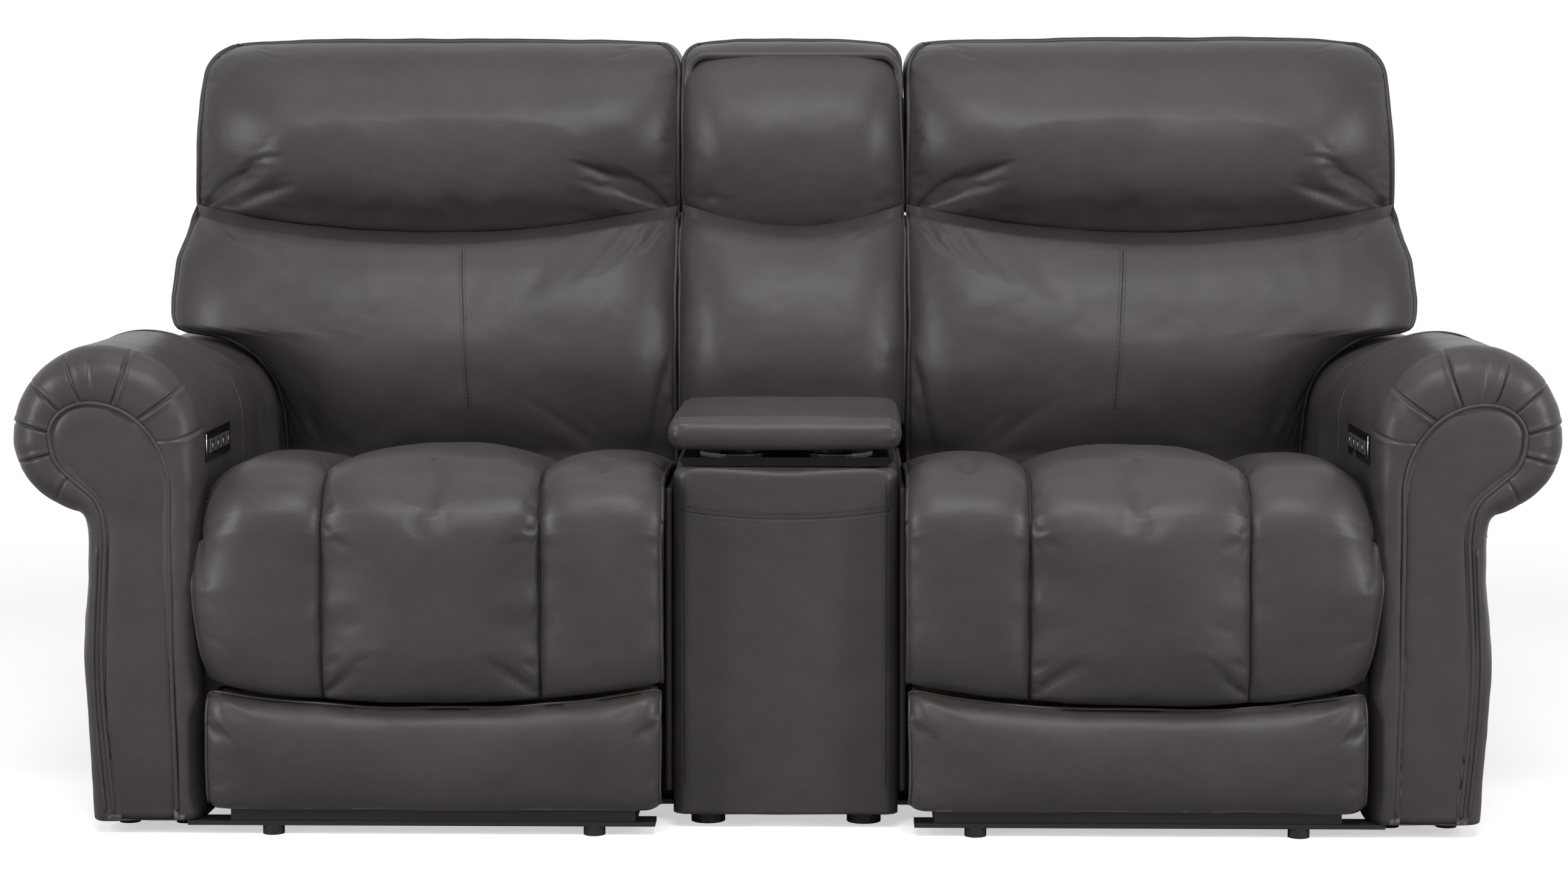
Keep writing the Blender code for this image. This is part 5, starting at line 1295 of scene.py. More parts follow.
# %% [markdown]
# ## Rolled arms
# Each arm is a padded roll on a post. Its front has a flat facing panel, edged with piping. Round
# the facing runs a fat band of leather that turns back on to the roll. The band is longer outside
# than inside, so the maker lays the extra leather in pleats that fan out from the piping. The
# cover is one ring of points, the arm's section, carried from the facing round the band and back.
# Above the middle of the roll, each point of the piping is matched with the point of the section
# that lies on the same ray, so the pleats run straight out.

# %% Arm section
facing_low, facing_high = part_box("arm_facing_right")
ARM_INNER_X = cover_low.x
ARM_FOOT_Z = cover_low.z
ARM_REAR_Y = cover_high.y
ROLL_TOP_Z = cover_high.z - 0.0015
ROLL_REACH = cover_high.x - ROLL_MIDDLE_X
ROLL_CROWN = 0.122
ROLL_DROP = 0.104
ROLL_MIDDLE_Z = ROLL_TOP_Z - ROLL_CROWN
ROLL_END_ANGLE = -76
CREST_FALL = 0.028
CREST_FALL_FROM = -0.155
CREST_FALL_TO = 0.035
POST_OUTER_X = 0.922
KNEE_Z = 0.240
INNER_POINTS = 56
ROLL_POINTS = 330
OUTER_POINTS = 56
FOOT_POINTS = 8
RAY_MIDDLE = (0.906, 0.515)


def ellipse_arc(middle, reach, rise, first, last, count):
    """Points of an ellipse between two angles in degrees."""
    return [
        (middle[0] + reach * math.cos(math.radians(lerp(first, last, i / (count - 1)))),
         middle[1] + rise * math.sin(math.radians(lerp(first, last, i / (count - 1)))))
        for i in range(count)
    ]


def ring_of(inner, roll, outer):
    """One closed section: up the inner face, over the roll, down the outer face, along the foot."""
    foot = [(lerp(outer[-1][0], inner[0][0], (i + 1) / (FOOT_POINTS + 1)), outer[-1][1])
            for i in range(FOOT_POINTS)]
    return even_path(inner, INNER_POINTS)[:-1] + roll + even_path(outer, OUTER_POINTS)[1:] + foot


def full_section():
    spring = (ARM_INNER_X, WING_SPRING_Z)
    inner = smooth_path([(ARM_INNER_X, ARM_FOOT_Z), (ARM_INNER_X + 0.001, 0.16),
                         (ARM_INNER_X, 0.26), (ARM_INNER_X, 0.42), spring], 8)
    roll = ellipse_arc((ROLL_MIDDLE_X, WING_SPRING_Z), ROLL_MIDDLE_X - ARM_INNER_X,
                       ROLL_TOP_Z - WING_SPRING_Z, 180, 90, 40)
    middle = (ROLL_MIDDLE_X, ROLL_MIDDLE_Z)
    roll += ellipse_arc(middle, ROLL_REACH, ROLL_CROWN, 90, 0, 40)[1:]
    roll += ellipse_arc(middle, ROLL_REACH, ROLL_DROP, 0, ROLL_END_ANGLE, 40)[1:]
    neck = (POST_OUTER_X + 0.002, ROLL_MIDDLE_Z - ROLL_DROP - 0.014)
    outer = smooth_path([roll[-1], neck, (POST_OUTER_X + 0.003, 0.34), (POST_OUTER_X + 0.009, KNEE_Z),
                         (POST_OUTER_X + 0.004, 0.14), (POST_OUTER_X - 0.002, ARM_FOOT_Z)], 10)
    return ring_of(inner, even_path(roll, ROLL_POINTS), outer)


# %% [markdown]
# ### Facing line
# The piping's line is two quarter ellipses over the top, then a neck that sweeps in under the roll
# and runs down the post.

# %% Facing line
FACING_TOP = (0.914, 0.5730)
FACING_INNER = (0.8090, 0.4550)
FACING_OUTER = (0.9662, 0.5304)
INNER_LINE = (
    (0.8035, ARM_FOOT_Z), (0.8085, 0.200), (0.8091, 0.300), (0.8098, 0.3865), FACING_INNER,
)
NECK_LINE = (
    FACING_OUTER, (0.9637, 0.5092), (0.9552, 0.4901), (0.9403, 0.4752), (0.9255, 0.4625),
    (0.9106, 0.4498), (0.9021, 0.4370), (0.8979, 0.4243), (0.8953, 0.4052), (0.8943, 0.3865),
    (0.8975, 0.3240), (0.9016, 0.2350), (0.8985, 0.1500), (0.8870, ARM_FOOT_Z),
)


def facing_line():
    """The whole piping line, from the inner foot over the top to the outer foot."""
    line = smooth_path(INNER_LINE, 10)
    line += ellipse_arc((FACING_TOP[0], FACING_INNER[1]), FACING_TOP[0] - FACING_INNER[0],
                        FACING_TOP[1] - FACING_INNER[1], 180, 90, 40)[1:]
    line += ellipse_arc((FACING_TOP[0], FACING_OUTER[1]), FACING_OUTER[0] - FACING_TOP[0],
                        FACING_TOP[1] - FACING_OUTER[1], 90, 0, 30)[1:]
    return line + smooth_path(NECK_LINE, 10)[1:]


FACING_LINE = facing_line()


def ray_point(line, goal):
    """Where the ray from the roll's middle through a goal point crosses a line."""
    ray = (Vector(goal) - Vector(RAY_MIDDLE)).normalized()
    for start, end in zip(line, line[1:]):
        first, last = Vector(start) - Vector(RAY_MIDDLE), Vector(end) - Vector(RAY_MIDDLE)
        side_first, side_last = first.cross(ray), last.cross(ray)
        if side_first * side_last <= 0 and side_first != side_last:
            point = first.lerp(last, side_first / (side_first - side_last))
            if point.dot(ray) > 0:
                return tuple(point + Vector(RAY_MIDDLE))
    return tuple(goal)


def facing_section(full):
    """The piping line, matched point by point with the full section."""
    roll_goals = full[INNER_POINTS - 1:INNER_POINTS - 1 + ROLL_POINTS]
    roll = [ray_point(FACING_LINE, goal) for goal in roll_goals]
    top = max(range(len(FACING_LINE)), key=lambda index: FACING_LINE[index][1])
    inner = [point for point in FACING_LINE[:top] if point[1] < roll[0][1] - 0.001] + [roll[0]]
    outer = [roll[-1]] + [point for point in FACING_LINE[top:] if point[1] < roll[-1][1] - 0.001]
    return ring_of(inner, roll, outer)


FULL_RING = full_section()
FACING_RING = facing_section(FULL_RING)
print("section points", len(FULL_RING), len(FACING_RING))

# %% Arm cover with its pleats
BAND_DEPTH = 0.046
BAND_ROWS = 30
BAND_START = math.radians(-26)
ROLL_ROWS = 54
PLEATS = (
    (175, 1.0), (147, 1.0), (111, 1.0), (86.5, 0.45), (72, 1.0), (44.5, 1.0), (17.5, 1.0), (-10, 0.9),
    (-49.5, 0.5),
)
PLEAT_LEAN = -3.0
PLEAT_GROOVE = 0.0032
PLEAT_WIDTH = 0.0021
PLEAT_LIP = 0.0019
PLEAT_LIP_OFFSET = 0.0050
PLEAT_LIP_WIDTH = 0.0040
PLEAT_SWELL = 0.0016
BAND_FRONT_Y = facing_low.y + BAND_DEPTH - 0.001
ROLL_START = INNER_POINTS - 1
REAR_ROUND = 0.016


def crest_fall(y, z):
    """How far the roll has dropped: level in front and lower under the back, most at its top."""
    share = clamp((y - CREST_FALL_FROM) / (CREST_FALL_TO - CREST_FALL_FROM))
    rise = clamp((z - WING_SPRING_Z) / (ROLL_TOP_Z - WING_SPRING_Z))
    return CREST_FALL * share * share * (3 - 2 * share) * rise


def ring_normal(index):
    """The direction out of the full section at one of its points."""
    before, after = FULL_RING[index - 1], FULL_RING[(index + 1) % len(FULL_RING)]
    return Vector((before[1] - after[1], 0.0, after[0] - before[0])).normalized()


def pleat_height(x, z, band_share):
    """Height of the gathered leather: a sharp fold at each pleat with a lip along one side."""
    offset = Vector((x - RAY_MIDDLE[0], z - RAY_MIDDLE[1]))
    angle = math.degrees(math.atan2(offset.y, offset.x))
    if angle < -90:
        angle += 360
    height = 0.0
    nearest = 60.0
    for index, (line, strength) in enumerate(PLEATS):
        reach = lerp(0.20, 0.62, strength ** 2) + 0.25 * noise.noise(Vector((index * 3.3, 1.0, 0.5)))
        stray = noise.noise(Vector((band_share * 1.6, index * 2.7, 0.0)))
        bent = line + PLEAT_LEAN * band_share + 2.2 * stray
        gap = math.radians(angle - bent) * offset.length
        nearest = min(nearest, abs(angle - bent))
        fade = clamp(band_share / 0.06) * (1 - clamp((band_share - reach) / 0.42)) ** 1.3
        groove = math.exp(-(gap / PLEAT_WIDTH) ** 2)
        lip = math.exp(-((gap - PLEAT_LIP_OFFSET) / PLEAT_LIP_WIDTH) ** 2)
        height += strength * fade * (PLEAT_LIP * lip - PLEAT_GROOVE * groove)
    between = clamp(nearest / 14.0) ** 0.6 - 0.5
    return height + PLEAT_SWELL * math.sin(math.pi * clamp(band_share / 1.1)) * between


def arm_rows():
    """For each row of the cover: its depth, how far it has opened to the full section, its inset."""
    rows = []
    for i in range(BAND_ROWS + 1):
        turn = lerp(BAND_START, math.pi / 2, i / BAND_ROWS)
        opened = (math.sin(turn) - math.sin(BAND_START)) / (1 - math.sin(BAND_START))
        rows.append((BAND_FRONT_Y - BAND_DEPTH * math.cos(turn), opened, 0.0, i / BAND_ROWS))
    for i in range(1, ROLL_ROWS + 1):
        share = (i / ROLL_ROWS) ** 1.35
        rows.append((lerp(BAND_FRONT_Y, ARM_REAR_Y - REAR_ROUND, share), 1.0, 0.0, 1 + share * 8))
    for i in range(1, 7):
        turn = math.pi / 2 * i / 6
        rows.append((ARM_REAR_Y - REAR_ROUND * (1 - math.sin(turn)), 1.0,
                     REAR_ROUND * (1 - math.cos(turn)), 9.0))
    return rows


ARM_ROWS = arm_rows()


def arm_rule(u, v):
    index = round(u * len(FULL_RING)) % len(FULL_RING)
    y, opened, inset, band_share = ARM_ROWS[round(v * (len(ARM_ROWS) - 1))]
    start, full = FACING_RING[index], FULL_RING[index]
    x, z = lerp(start[0], full[0], opened), lerp(start[1], full[1], opened)
    out = ring_normal(index)
    lift = 0.0
    if 0 <= index - ROLL_START < ROLL_POINTS:
        ends = min(index - ROLL_START, ROLL_START + ROLL_POINTS - index)
        lift = pleat_height(x, z, band_share) * clamp(ends / 12)
    wrinkle = noise.noise(Vector((y * 34.0, z * 40.0, x * 12.0)))
    lift += 0.0007 * wrinkle * clamp(band_share / 0.3) * clamp(2.6 - band_share)
    forward = -lift * math.cos(math.pi / 2 * clamp(band_share))
    if opened > 0.98:
        forward = 0.0
    foot_hold = clamp((z - ARM_FOOT_Z) / 0.02)
    lift = lift * foot_hold * lerp(0.35, 1.0, opened) - inset
    z = max(z + out.z * lift - crest_fall(y, z), ARM_FOOT_Z)
    return Vector((x + out.x * lift, y + forward, z))


arm = panel(len(FULL_RING), len(ARM_ROWS) - 1, arm_rule)
bmesh.ops.remove_doubles(arm, verts=arm.verts, dist=0.00002)
bmesh.ops.holes_fill(arm, edges=[edge for edge in arm.edges if edge.is_boundary], sides=0)
both_sides(arm, "arm_roll_cover", LEATHER, "frame", node="arm_cover")

# %% Facing panel
FACING_ROWS = 96
FACING_COLUMNS = 28
FACING_EDGE_DEPTH = 0.0080
FACING_ROLL = 0.024
FACING_SKIN = 0.0006


def facing_edges(z):
    """Inner and outer edge of the facing at a height, read from its own line."""
    crossings = [
        lerp(x0, x1, (z - z0) / (z1 - z0))
        for (x0, z0), (x1, z1) in zip(FACING_LINE, FACING_LINE[1:])
        if (z0 - z) * (z1 - z) <= 0 and z0 != z1
    ]
    return (min(crossings), max(crossings)) if crossings else (FACING_TOP[0], FACING_TOP[0])


def facing_rule(u, v):
    height = FACING_TOP[1] - FACING_SKIN - ARM_FOOT_Z
    z = ARM_FOOT_Z + height * (1 - (1 - v) ** 1.9)
    low, high = facing_edges(z)
    part = 0.5 - 0.5 * math.cos(math.pi * u)
    x = lerp(low, high, part)
    gap = min(math.dist((x, z), point) for point in FACING_LINE)
    return Vector((x, facing_low.y + FACING_SKIN + edge_fall(gap, FACING_ROLL, FACING_EDGE_DEPTH), z))


facing = panel(FACING_COLUMNS, FACING_ROWS, facing_rule)
face_toward(facing, (0, -1, 0))
close_rim(facing, deepen(facing, (lambda co: Vector((co.x, facing_high.y - 0.0005, co.z)),)))
both_sides(facing, "arm_facing_panel", LEATHER, "frame", node="arm_facing")

# %% [markdown]
# ## Console
# The console is a box wrapped in leather, open at the top, where a gloss tray with cup holders
# and a storage bin drops in. One rounded rectangle is carried up the outside, over the rim and
# down the inside, so the wall has a real thickness. The lid is a soft slab with a full edge.

# %% Console cover
console_low, console_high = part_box("console_body")
tray_low, tray_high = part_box("console_tray")
lid_low, lid_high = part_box("console_lid")
CORNER_RADIUS = 0.020
CONSOLE_RIM_ROUND = 0.016
CONSOLE_COLUMNS = 200


def rounded_rectangle(low, high, radius, count):
    """Points round a rectangle with rounded corners, starting at the middle of its front."""
    path = [((low[0] + high[0]) / 2, low[1])]
    for corner_x, corner_y, first in (
        (high[0] - radius, low[1] + radius, -90), (high[0] - radius, high[1] - radius, 0),
        (low[0] + radius, high[1] - radius, 90), (low[0] + radius, low[1] + radius, 180),
    ):
        path += ellipse_arc((corner_x, corner_y), radius, radius, first, first + 90, 9)
    path.append(path[0])
    return even_path(path, count + 1)[:-1]


OUTER_WALL = rounded_rectangle((console_low.x, console_low.y), (console_high.x, console_high.y),
                               CORNER_RADIUS, CONSOLE_COLUMNS)
INNER_WALL = rounded_rectangle((tray_low.x + 0.012, tray_low.y + 0.012),
                               (tray_high.x - 0.012, tray_high.y - 0.030), 0.010, CONSOLE_COLUMNS)
CONSOLE_SEAM_Z = 0.430
CONSOLE_SEAM_DIP = 0.013
SEAM_GROOVE = 0.0022
EDGE_GROOVE = 0.0012
GROOVE_WIDTH = 0.0035
CONSOLE_PUFF = 0.004
CONSOLE_INNER_Z = 0.300


def console_seam_z(x):
    """The scalloped seam across the console's front, a little lower in the middle."""
    return CONSOLE_SEAM_Z - CONSOLE_SEAM_DIP * (1 - (x / console_high.x) ** 2)


CONSOLE_WALL_ROWS = 96
CONSOLE_ROUND_ROWS = 8
CONSOLE_INNER_ROWS = 10
CONSOLE_ROWS = CONSOLE_WALL_ROWS + CONSOLE_ROUND_ROWS + CONSOLE_INNER_ROWS


def console_rule(u, v):
    index = round(u * CONSOLE_COLUMNS) % CONSOLE_COLUMNS
    row = round(v * CONSOLE_ROWS)
    outer, inner = Vector(OUTER_WALL[index]), Vector(INNER_WALL[index])
    middle = Vector(((console_low.x + console_high.x) / 2, (console_low.y + console_high.y) / 2))
    inward = (inner - outer).normalized()
    top = console_high.z
    if row <= CONSOLE_WALL_ROWS:
        z = lerp(console_low.z, top - CONSOLE_RIM_ROUND, row / CONSOLE_WALL_ROWS)
        rise = (z - console_low.z) / (top - console_low.z)
        in_front = outer.y < console_low.y + CORNER_RADIUS
        puffed = CONSOLE_PUFF * math.sin(math.pi * min(1.0, rise * 1.02)) if in_front else 0.0
        place = outer - inward * puffed * (1 - abs(outer.x / console_high.x) ** 4)
        if outer.y < console_low.y + 0.004:
            gap = (z - console_seam_z(outer.x)) / GROOVE_WIDTH
            place += inward * SEAM_GROOVE * math.exp(-gap * gap)
            edge_gap = (console_high.x - CORNER_RADIUS - abs(outer.x)) / GROOVE_WIDTH
            place += inward * EDGE_GROOVE * math.exp(-edge_gap * edge_gap)
        return Vector((place.x, place.y, z))
    if row <= CONSOLE_WALL_ROWS + CONSOLE_ROUND_ROWS:
        turn = math.pi / 2 * (row - CONSOLE_WALL_ROWS) / CONSOLE_ROUND_ROWS
        place = outer + inward * CONSOLE_RIM_ROUND * (1 - math.cos(turn))
        return Vector((place.x, place.y, top - CONSOLE_RIM_ROUND * (1 - math.sin(turn)) - 0.0004))
    down = (row - CONSOLE_WALL_ROWS - CONSOLE_ROUND_ROWS) / CONSOLE_INNER_ROWS
    return Vector((inner.x, inner.y, lerp(top - 0.0004, CONSOLE_INNER_Z, down ** 1.5)))


console = panel(CONSOLE_COLUMNS, CONSOLE_ROWS, console_rule)
bmesh.ops.remove_doubles(console, verts=console.verts, dist=0.00002)
bmesh.ops.holes_fill(console, edges=[edge for edge in console.edges if edge.is_boundary], sides=0)
settle(console, 21, ((0.12, 0.0010), (0.04, 0.0004)))
make_piece(console, "console_wrap", LEATHER, "frame", replaced=("console_body",))
print("console ready")

# %% Console lid
LID_EDGE = 0.017
LID_SAG = 0.004
LID_REAR_Y = -0.0925
LID_CUTS = (84, 96, 18)
LID_SEAM_INSET = 0.012
LID_TUCK = 0.0014


def block(cuts):
    """A unit cube cut evenly along its three axes."""
    bm = bmesh.new()
    bmesh.ops.create_cube(bm, size=1.0, matrix=Matrix.Translation((0.5, 0.5, 0.5)))
    for axis, count in enumerate(cuts):
        long_edges = [edge for edge in bm.edges
                      if abs(edge.verts[0].co[axis] - edge.verts[1].co[axis]) > 0.9]
        bmesh.ops.subdivide_edges(bm, edges=long_edges, cuts=count - 1, use_grid_fill=True)
    return bm


def round_block(cuts, low, high, radius, crown):
    """A block with every edge rounded, and a soft crown on its top."""
    bm = block(cuts)
    low, high = Vector(low), Vector(high)
    core_low, core_high = low + Vector(radius), high - Vector(radius)
    for vert in bm.verts:
        share = Vector(0.5 - 0.5 * math.cos(math.pi * part) for part in vert.co)
        spot = Vector(lerp(a, b, part) for a, b, part in zip(low, high, share))
        core = Vector(clamp(p, a, b) for p, a, b in zip(spot, core_low, core_high))
        offset = Vector((p - q) / r for p, q, r in zip(spot, core, radius))
        if offset.length > 1:
            offset.normalize()
        spot = core + Vector(o * r for o, r in zip(offset, radius))
        if spot.z > (low.z + high.z) / 2:
            spot.z += crown * (1 - (2 * share.x - 1) ** 2) * (1 - (2 * share.y - 1) ** 4)
        vert.co = spot
    return bm


lid_body = round_block(LID_CUTS, (lid_low.x, lid_low.y, lid_low.z + 0.0005),
                       (lid_high.x, LID_REAR_Y, lid_high.z - 0.003), (LID_EDGE, 0.020, 0.0215), LID_SAG)
for vert in lid_body.verts:
    corner = clamp((abs(vert.co.x) - 0.115) / 0.040) * clamp((lid_low.y + 0.050 - vert.co.y) / 0.050)
    wrinkle = noise.noise(Vector((vert.co.x * 90.0, vert.co.y * 60.0, vert.co.z * 120.0)))
    seam_gap = (abs(vert.co.x) - lid_high.x + LID_SEAM_INSET) / 0.0028
    if vert.co.z > lid_low.z + 0.028:
        vert.co.z -= LID_TUCK * math.exp(-seam_gap * seam_gap)
    vert.co.x += math.copysign(0.0022 * corner * wrinkle, vert.co.x)
    vert.co.y += 0.0028 * corner * wrinkle
settle(lid_body, 23, ((0.10, 0.0016), (0.035, 0.0006)))
make_piece(lid_body, "console_lid_cover", LEATHER, "console_lid", replaced=("console_lid",))


def sleeve_shape(middle, radius, hole, half):
    """A sleeve along X: an outer and an inner wall, joined at both ends."""
    bm = bmesh.new()
    count = 40
    loops = []
    for x, reach in ((-half, hole), (-half, radius), (half, radius), (half, hole)):
        loops.append([
            bm.verts.new((x, middle[0] + reach * math.cos(2 * math.pi * i / count),
                          middle[1] + reach * math.sin(2 * math.pi * i / count)))
            for i in range(count)
        ])
    for first, second in zip(loops, loops[1:] + loops[:1]):
        for i in range(count):
            j = (i + 1) % count
            bm.faces.new((first[i], first[j], second[j], second[i]))
    return bm


HINGE_PIVOT = (-0.081, 0.515)
HINGE_HALF = 0.0465
SLEEVE_RADIUS = 0.0069
SLEEVE_HOLE = 0.0043
sleeve = sleeve_shape(HINGE_PIVOT, SLEEVE_RADIUS, SLEEVE_HOLE, HINGE_HALF)
leaf = bmesh.ops.create_cube(sleeve, size=1.0, matrix=(
    Matrix.Translation((0.0, HINGE_PIVOT[0] - 0.0072, HINGE_PIVOT[1] - 0.0030))
    @ Matrix.Diagonal((HINGE_HALF * 1.9, 0.0080, 0.0036, 1.0))))["verts"]
leaf_edges = [edge for edge in sleeve.edges if edge.verts[0] in leaf and edge.verts[1] in leaf]
bmesh.ops.bevel(sleeve, geom=leaf_edges, offset=0.0005, segments=1, affect="EDGES")
make_piece(sleeve, "lid_hinge_leaf", HARD_FINISHES["zinc_steel"], "console_lid")

rest_low, rest_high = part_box("console_rear_pad")
rest_body = round_block((60, 16, 20), (rest_low.x, rest_low.y + 0.001, rest_low.z + 0.0005),
                        (rest_high.x, rest_high.y - 0.002, rest_high.z - 0.004),
                        (0.014, 0.012, 0.014), 0.004)
settle(rest_body, 24, ((0.08, 0.0012),))
make_piece(rest_body, "console_rear_cover", LEATHER, "frame",
           replaced=("console_rear_pad",))
print("lid and rear pad ready")

# %% [markdown]
# ## Piping, stitches and seams
# Piping is a cord wrapped in leather and sewn into the edge of a panel. Each run is a tube along the
# rim that its panel kept, a millimetre or two outside it, over a near-black flange that paints the
# shade at its sides. Stitches are tiny capsules laid in a row along a seam. Seams that lie inside a
# panel are thin near-black tubes that paint the groove's shade, laid on its surface by a ray cast from
# in front.

# %% Tubes and stitches
PIPING = 0.0031
WELT = 0.0023
STITCH_LENGTH = 0.0034
STITCH_PITCH = 0.0050
STITCH_RADIUS = 0.00065
BACKWARD = (0.0, 0.0024, 0.0)
OUTER_FROM_X = 0.45
THREAD = hard_material("thread", ((0.016, 0.014, 0.013), (0.030, 0.027, 0.026)), (0.45, 0.60), 0.0,
                       scale=1400.0, bump=0.4)


def side_vectors(points, index):
    """Two directions square to a path at one of its points."""
    ahead = Vector(points[min(index + 1, len(points) - 1)]) - Vector(points[max(index - 1, 0)])
    ahead = ahead.normalized() if ahead.length > 0 else Vector((0, 0, 1))
    lead = Vector((0, 1, 0)) if abs(ahead.y) < 0.9 else Vector((1, 0, 0))
    across = ahead.cross(lead).normalized()
    return across, ahead.cross(across).normalized()


def tube(points, radius, sides=10):
    """A closed tube along a path, drawn in at both ends."""
    bm = bmesh.new()
    rings = []
    count = len(points)
    for index, point in enumerate(points):
        across, up = side_vectors(points, index)
        size = radius * (0.5 if index in (0, count - 1) else 1.0)
        rings.append([
            bm.verts.new(Vector(point) + across * size * math.cos(2 * math.pi * k / sides)
                         + up * size * math.sin(2 * math.pi * k / sides))
            for k in range(sides)
        ])
    for first, second in zip(rings, rings[1:]):
        for k in range(sides):
            bm.faces.new((first[k], first[(k + 1) % sides], second[(k + 1) % sides], second[k]))
    bm.faces.new(rings[0])
    bm.faces.new(rings[-1])
    return bm


def merge(shapes):
    """Several shapes as one."""
    whole = bmesh.new()
    scratch = bpy.data.meshes.new("merge_scratch")
    for shape in shapes:
        shape.to_mesh(scratch)
        whole.from_mesh(scratch)
        shape.free()
    bpy.data.meshes.remove(scratch)
    return whole


def spaced(points, pitch):
    """A path's points again, about one pitch apart."""
    total = sum(math.dist(a, b) for a, b in zip(points, points[1:]))
    return even_path([tuple(point) for point in points], max(3, round(total / pitch)))


def piping(runs, name, body, radius=PIPING, pitch=0.006, sunk=(0.0, 0.0, 0.0)):
    """Piping runs as one leather piece. Under each lies a sunk flange in near-black leather, painted
    shade for the dark lines at its sides.
    """
    shapes = []
    for run in runs:
        places = spaced(run, pitch)
        shapes.append(tube(places, radius))
        if any(sunk):
            # The sunk flange is painted shade: a near-black tube that shows as dark lines beside the
            # piping.
            shade_flange = tube([Vector(place) + Vector(sunk) for place in places], radius * 1.5)
            for face in shade_flange.faces:
                face.material_index = 1
            shapes.append(shade_flange)
    piece = make_piece(merge(shapes), name, LEATHER, body)
    piece.data.materials.append(PAINTED_SHADE_LEATHER)


def painted_shade_line(runs, name, body, radius, pitch=0.006):
    """A seam's line, without piping: a thin near-black tube in the groove that paints the groove's
    shade.
    """
    make_piece(merge([tube(spaced(run, pitch), radius, 6) for run in runs]), name, PAINTED_SHADE_LEATHER, body)


def stitches(runs, name, body):
    """Rows of small capsules, each laid along its seam."""
    bm = bmesh.new()
    for run in runs:
        places = spaced(run, STITCH_PITCH)
        for start, end in zip(places, places[1:]):
            start, end = Vector(start), Vector(end)
            ahead = (end - start).normalized()
            middle = (start + end) / 2
            turn = ahead.to_track_quat("Z", "Y").to_matrix().to_4x4()
            shape = Matrix.Diagonal((STITCH_RADIUS, STITCH_RADIUS, STITCH_LENGTH / 2, 1.0))
            bmesh.ops.create_icosphere(bm, subdivisions=1, radius=1.0,
                                       matrix=Matrix.Translation(middle) @ turn @ shape)
    make_piece(bm, name, THREAD, body)


def flip(points, sign):
    """The same points on one side of the sofa: 1 keeps them right, -1 puts them left."""
    return [Vector((sign * x, y, z)) for x, y, z in points]


def spread(run, sign, aside, back=0.0, up=0.0):
    """An inner or outer edge's run, moved away from its panel's middle."""
    edge = 1 if abs(run[len(run) // 2].x) > OUTER_FROM_X else -1
    return [point + Vector((sign * edge * aside, back, up)) for point in run]


def lay_on(piece_name, points, direction, lift):
    """Move points along a direction on to the surface of a piece, and a little back out of it."""
    tree = SURFACES[piece_name]
    way = Vector(direction).normalized()
    laid = []
    for point in points:
        hit = tree.ray_cast(Vector(point) - way * 0.25, way)[0]
        if hit is not None:
            laid.append(hit - way * lift)
    return laid


def pushed(points, middle, amount, forward=0.0):
    """Points moved away from a middle in the front view, and a little forward."""
    moved = []
    for point in points:
        out = Vector((point[0] - middle[0], 0.0, point[2] - middle[1]))
        out = out.normalized() if out.length > 0 else out
        moved.append(Vector(point) + out * amount + Vector((0, -forward, 0)))
    return moved


print("trim tools ready")

# %% Piping on the backs
PILLOW_MIDDLE_Z = 0.930
for side, sign in SIDES:
    middle = (sign * (back_low.x + back_high.x) / 2, PILLOW_MIDDLE_Z)
    piping([pushed(pillow_rims[side], middle, 0.0012, -0.001)], f"head_piping_{side}",
           f"headrest_{side}", sunk=BACKWARD)
    rim = lumbar_rims[side]
    piping([spread(run, sign, 0.0012, 0.001) for run in (rim[:LUMBAR_ROWS], rim[-LUMBAR_ROWS:])],
           f"lumbar_piping_{side}", f"back_{side}", sunk=BACKWARD)

piping([pushed(crest_rim, (0.0, PILLOW_MIDDLE_Z), 0.0012, -0.001)], "centre_head_piping", "frame",
       WELT, sunk=BACKWARD)
piping([[point + Vector((math.copysign(0.001, point.x), 0.001, 0.0)) for point in run]
        for run in (centre_rim[:CENTRE_ROWS], centre_rim[-CENTRE_ROWS:])],
       "centre_lumbar_piping", "frame", WELT, sunk=BACKWARD)
print("back piping ready")

# %% Stitched seam down the middle of each lumbar panel
LUMBAR_SEAM = ((0.492, 0.752), (0.476, 0.520))
INTO = (0, 1, 0)
for side, sign in SIDES:
    seam = [(sign * lerp(LUMBAR_SEAM[0][0], LUMBAR_SEAM[1][0], i / 59), 0.0,
             lerp(LUMBAR_SEAM[0][1], LUMBAR_SEAM[1][1], i / 59)) for i in range(60)]
    laid = lay_on(f"lumbar_cover_{side}", seam, INTO, 0.0)
    # The dark line down the seam is painted shade in its groove.
    painted_shade_line([laid], f"lumbar_seam_shade_{side}", f"back_{side}", 0.0011, 0.005)
    for offset, label in ((0.0045, "inner"), (-0.0045, "outer")):
        beside = lay_on(f"lumbar_cover_{side}", [(x + sign * offset, y, z) for x, y, z in seam],
                        INTO, 0.0002)
        stitches([beside], f"lumbar_stitches_{label}_{side}", f"back_{side}")

# %% Piping and seams on the arms
ROLL_SEAM_Y = -0.155
ARM_SEAM_Z = 0.437
OUTER_WELT_Z = ARM_SEAM_Z - 0.040
POST_WELT_Z = (0.030, 0.385)
POST_WELT_ASIDE = 0.0105
FRONT_OF_ARM_Y = -0.60


def facing_path(aside=0.0, back=0.0018):
    """The piping's path round the facing, or one beside it: outward is positive."""
    points = []
    for (x0, z0), (x, z), (x1, z1) in zip(FACING_LINE, FACING_LINE[1:], FACING_LINE[2:]):
        out = Vector((z0 - z1, 0.0, x1 - x0)).normalized()
        if z > ARM_FOOT_Z + 0.004:
            points.append(Vector((x, facing_low.y + back, z)) + out * aside)
    return points


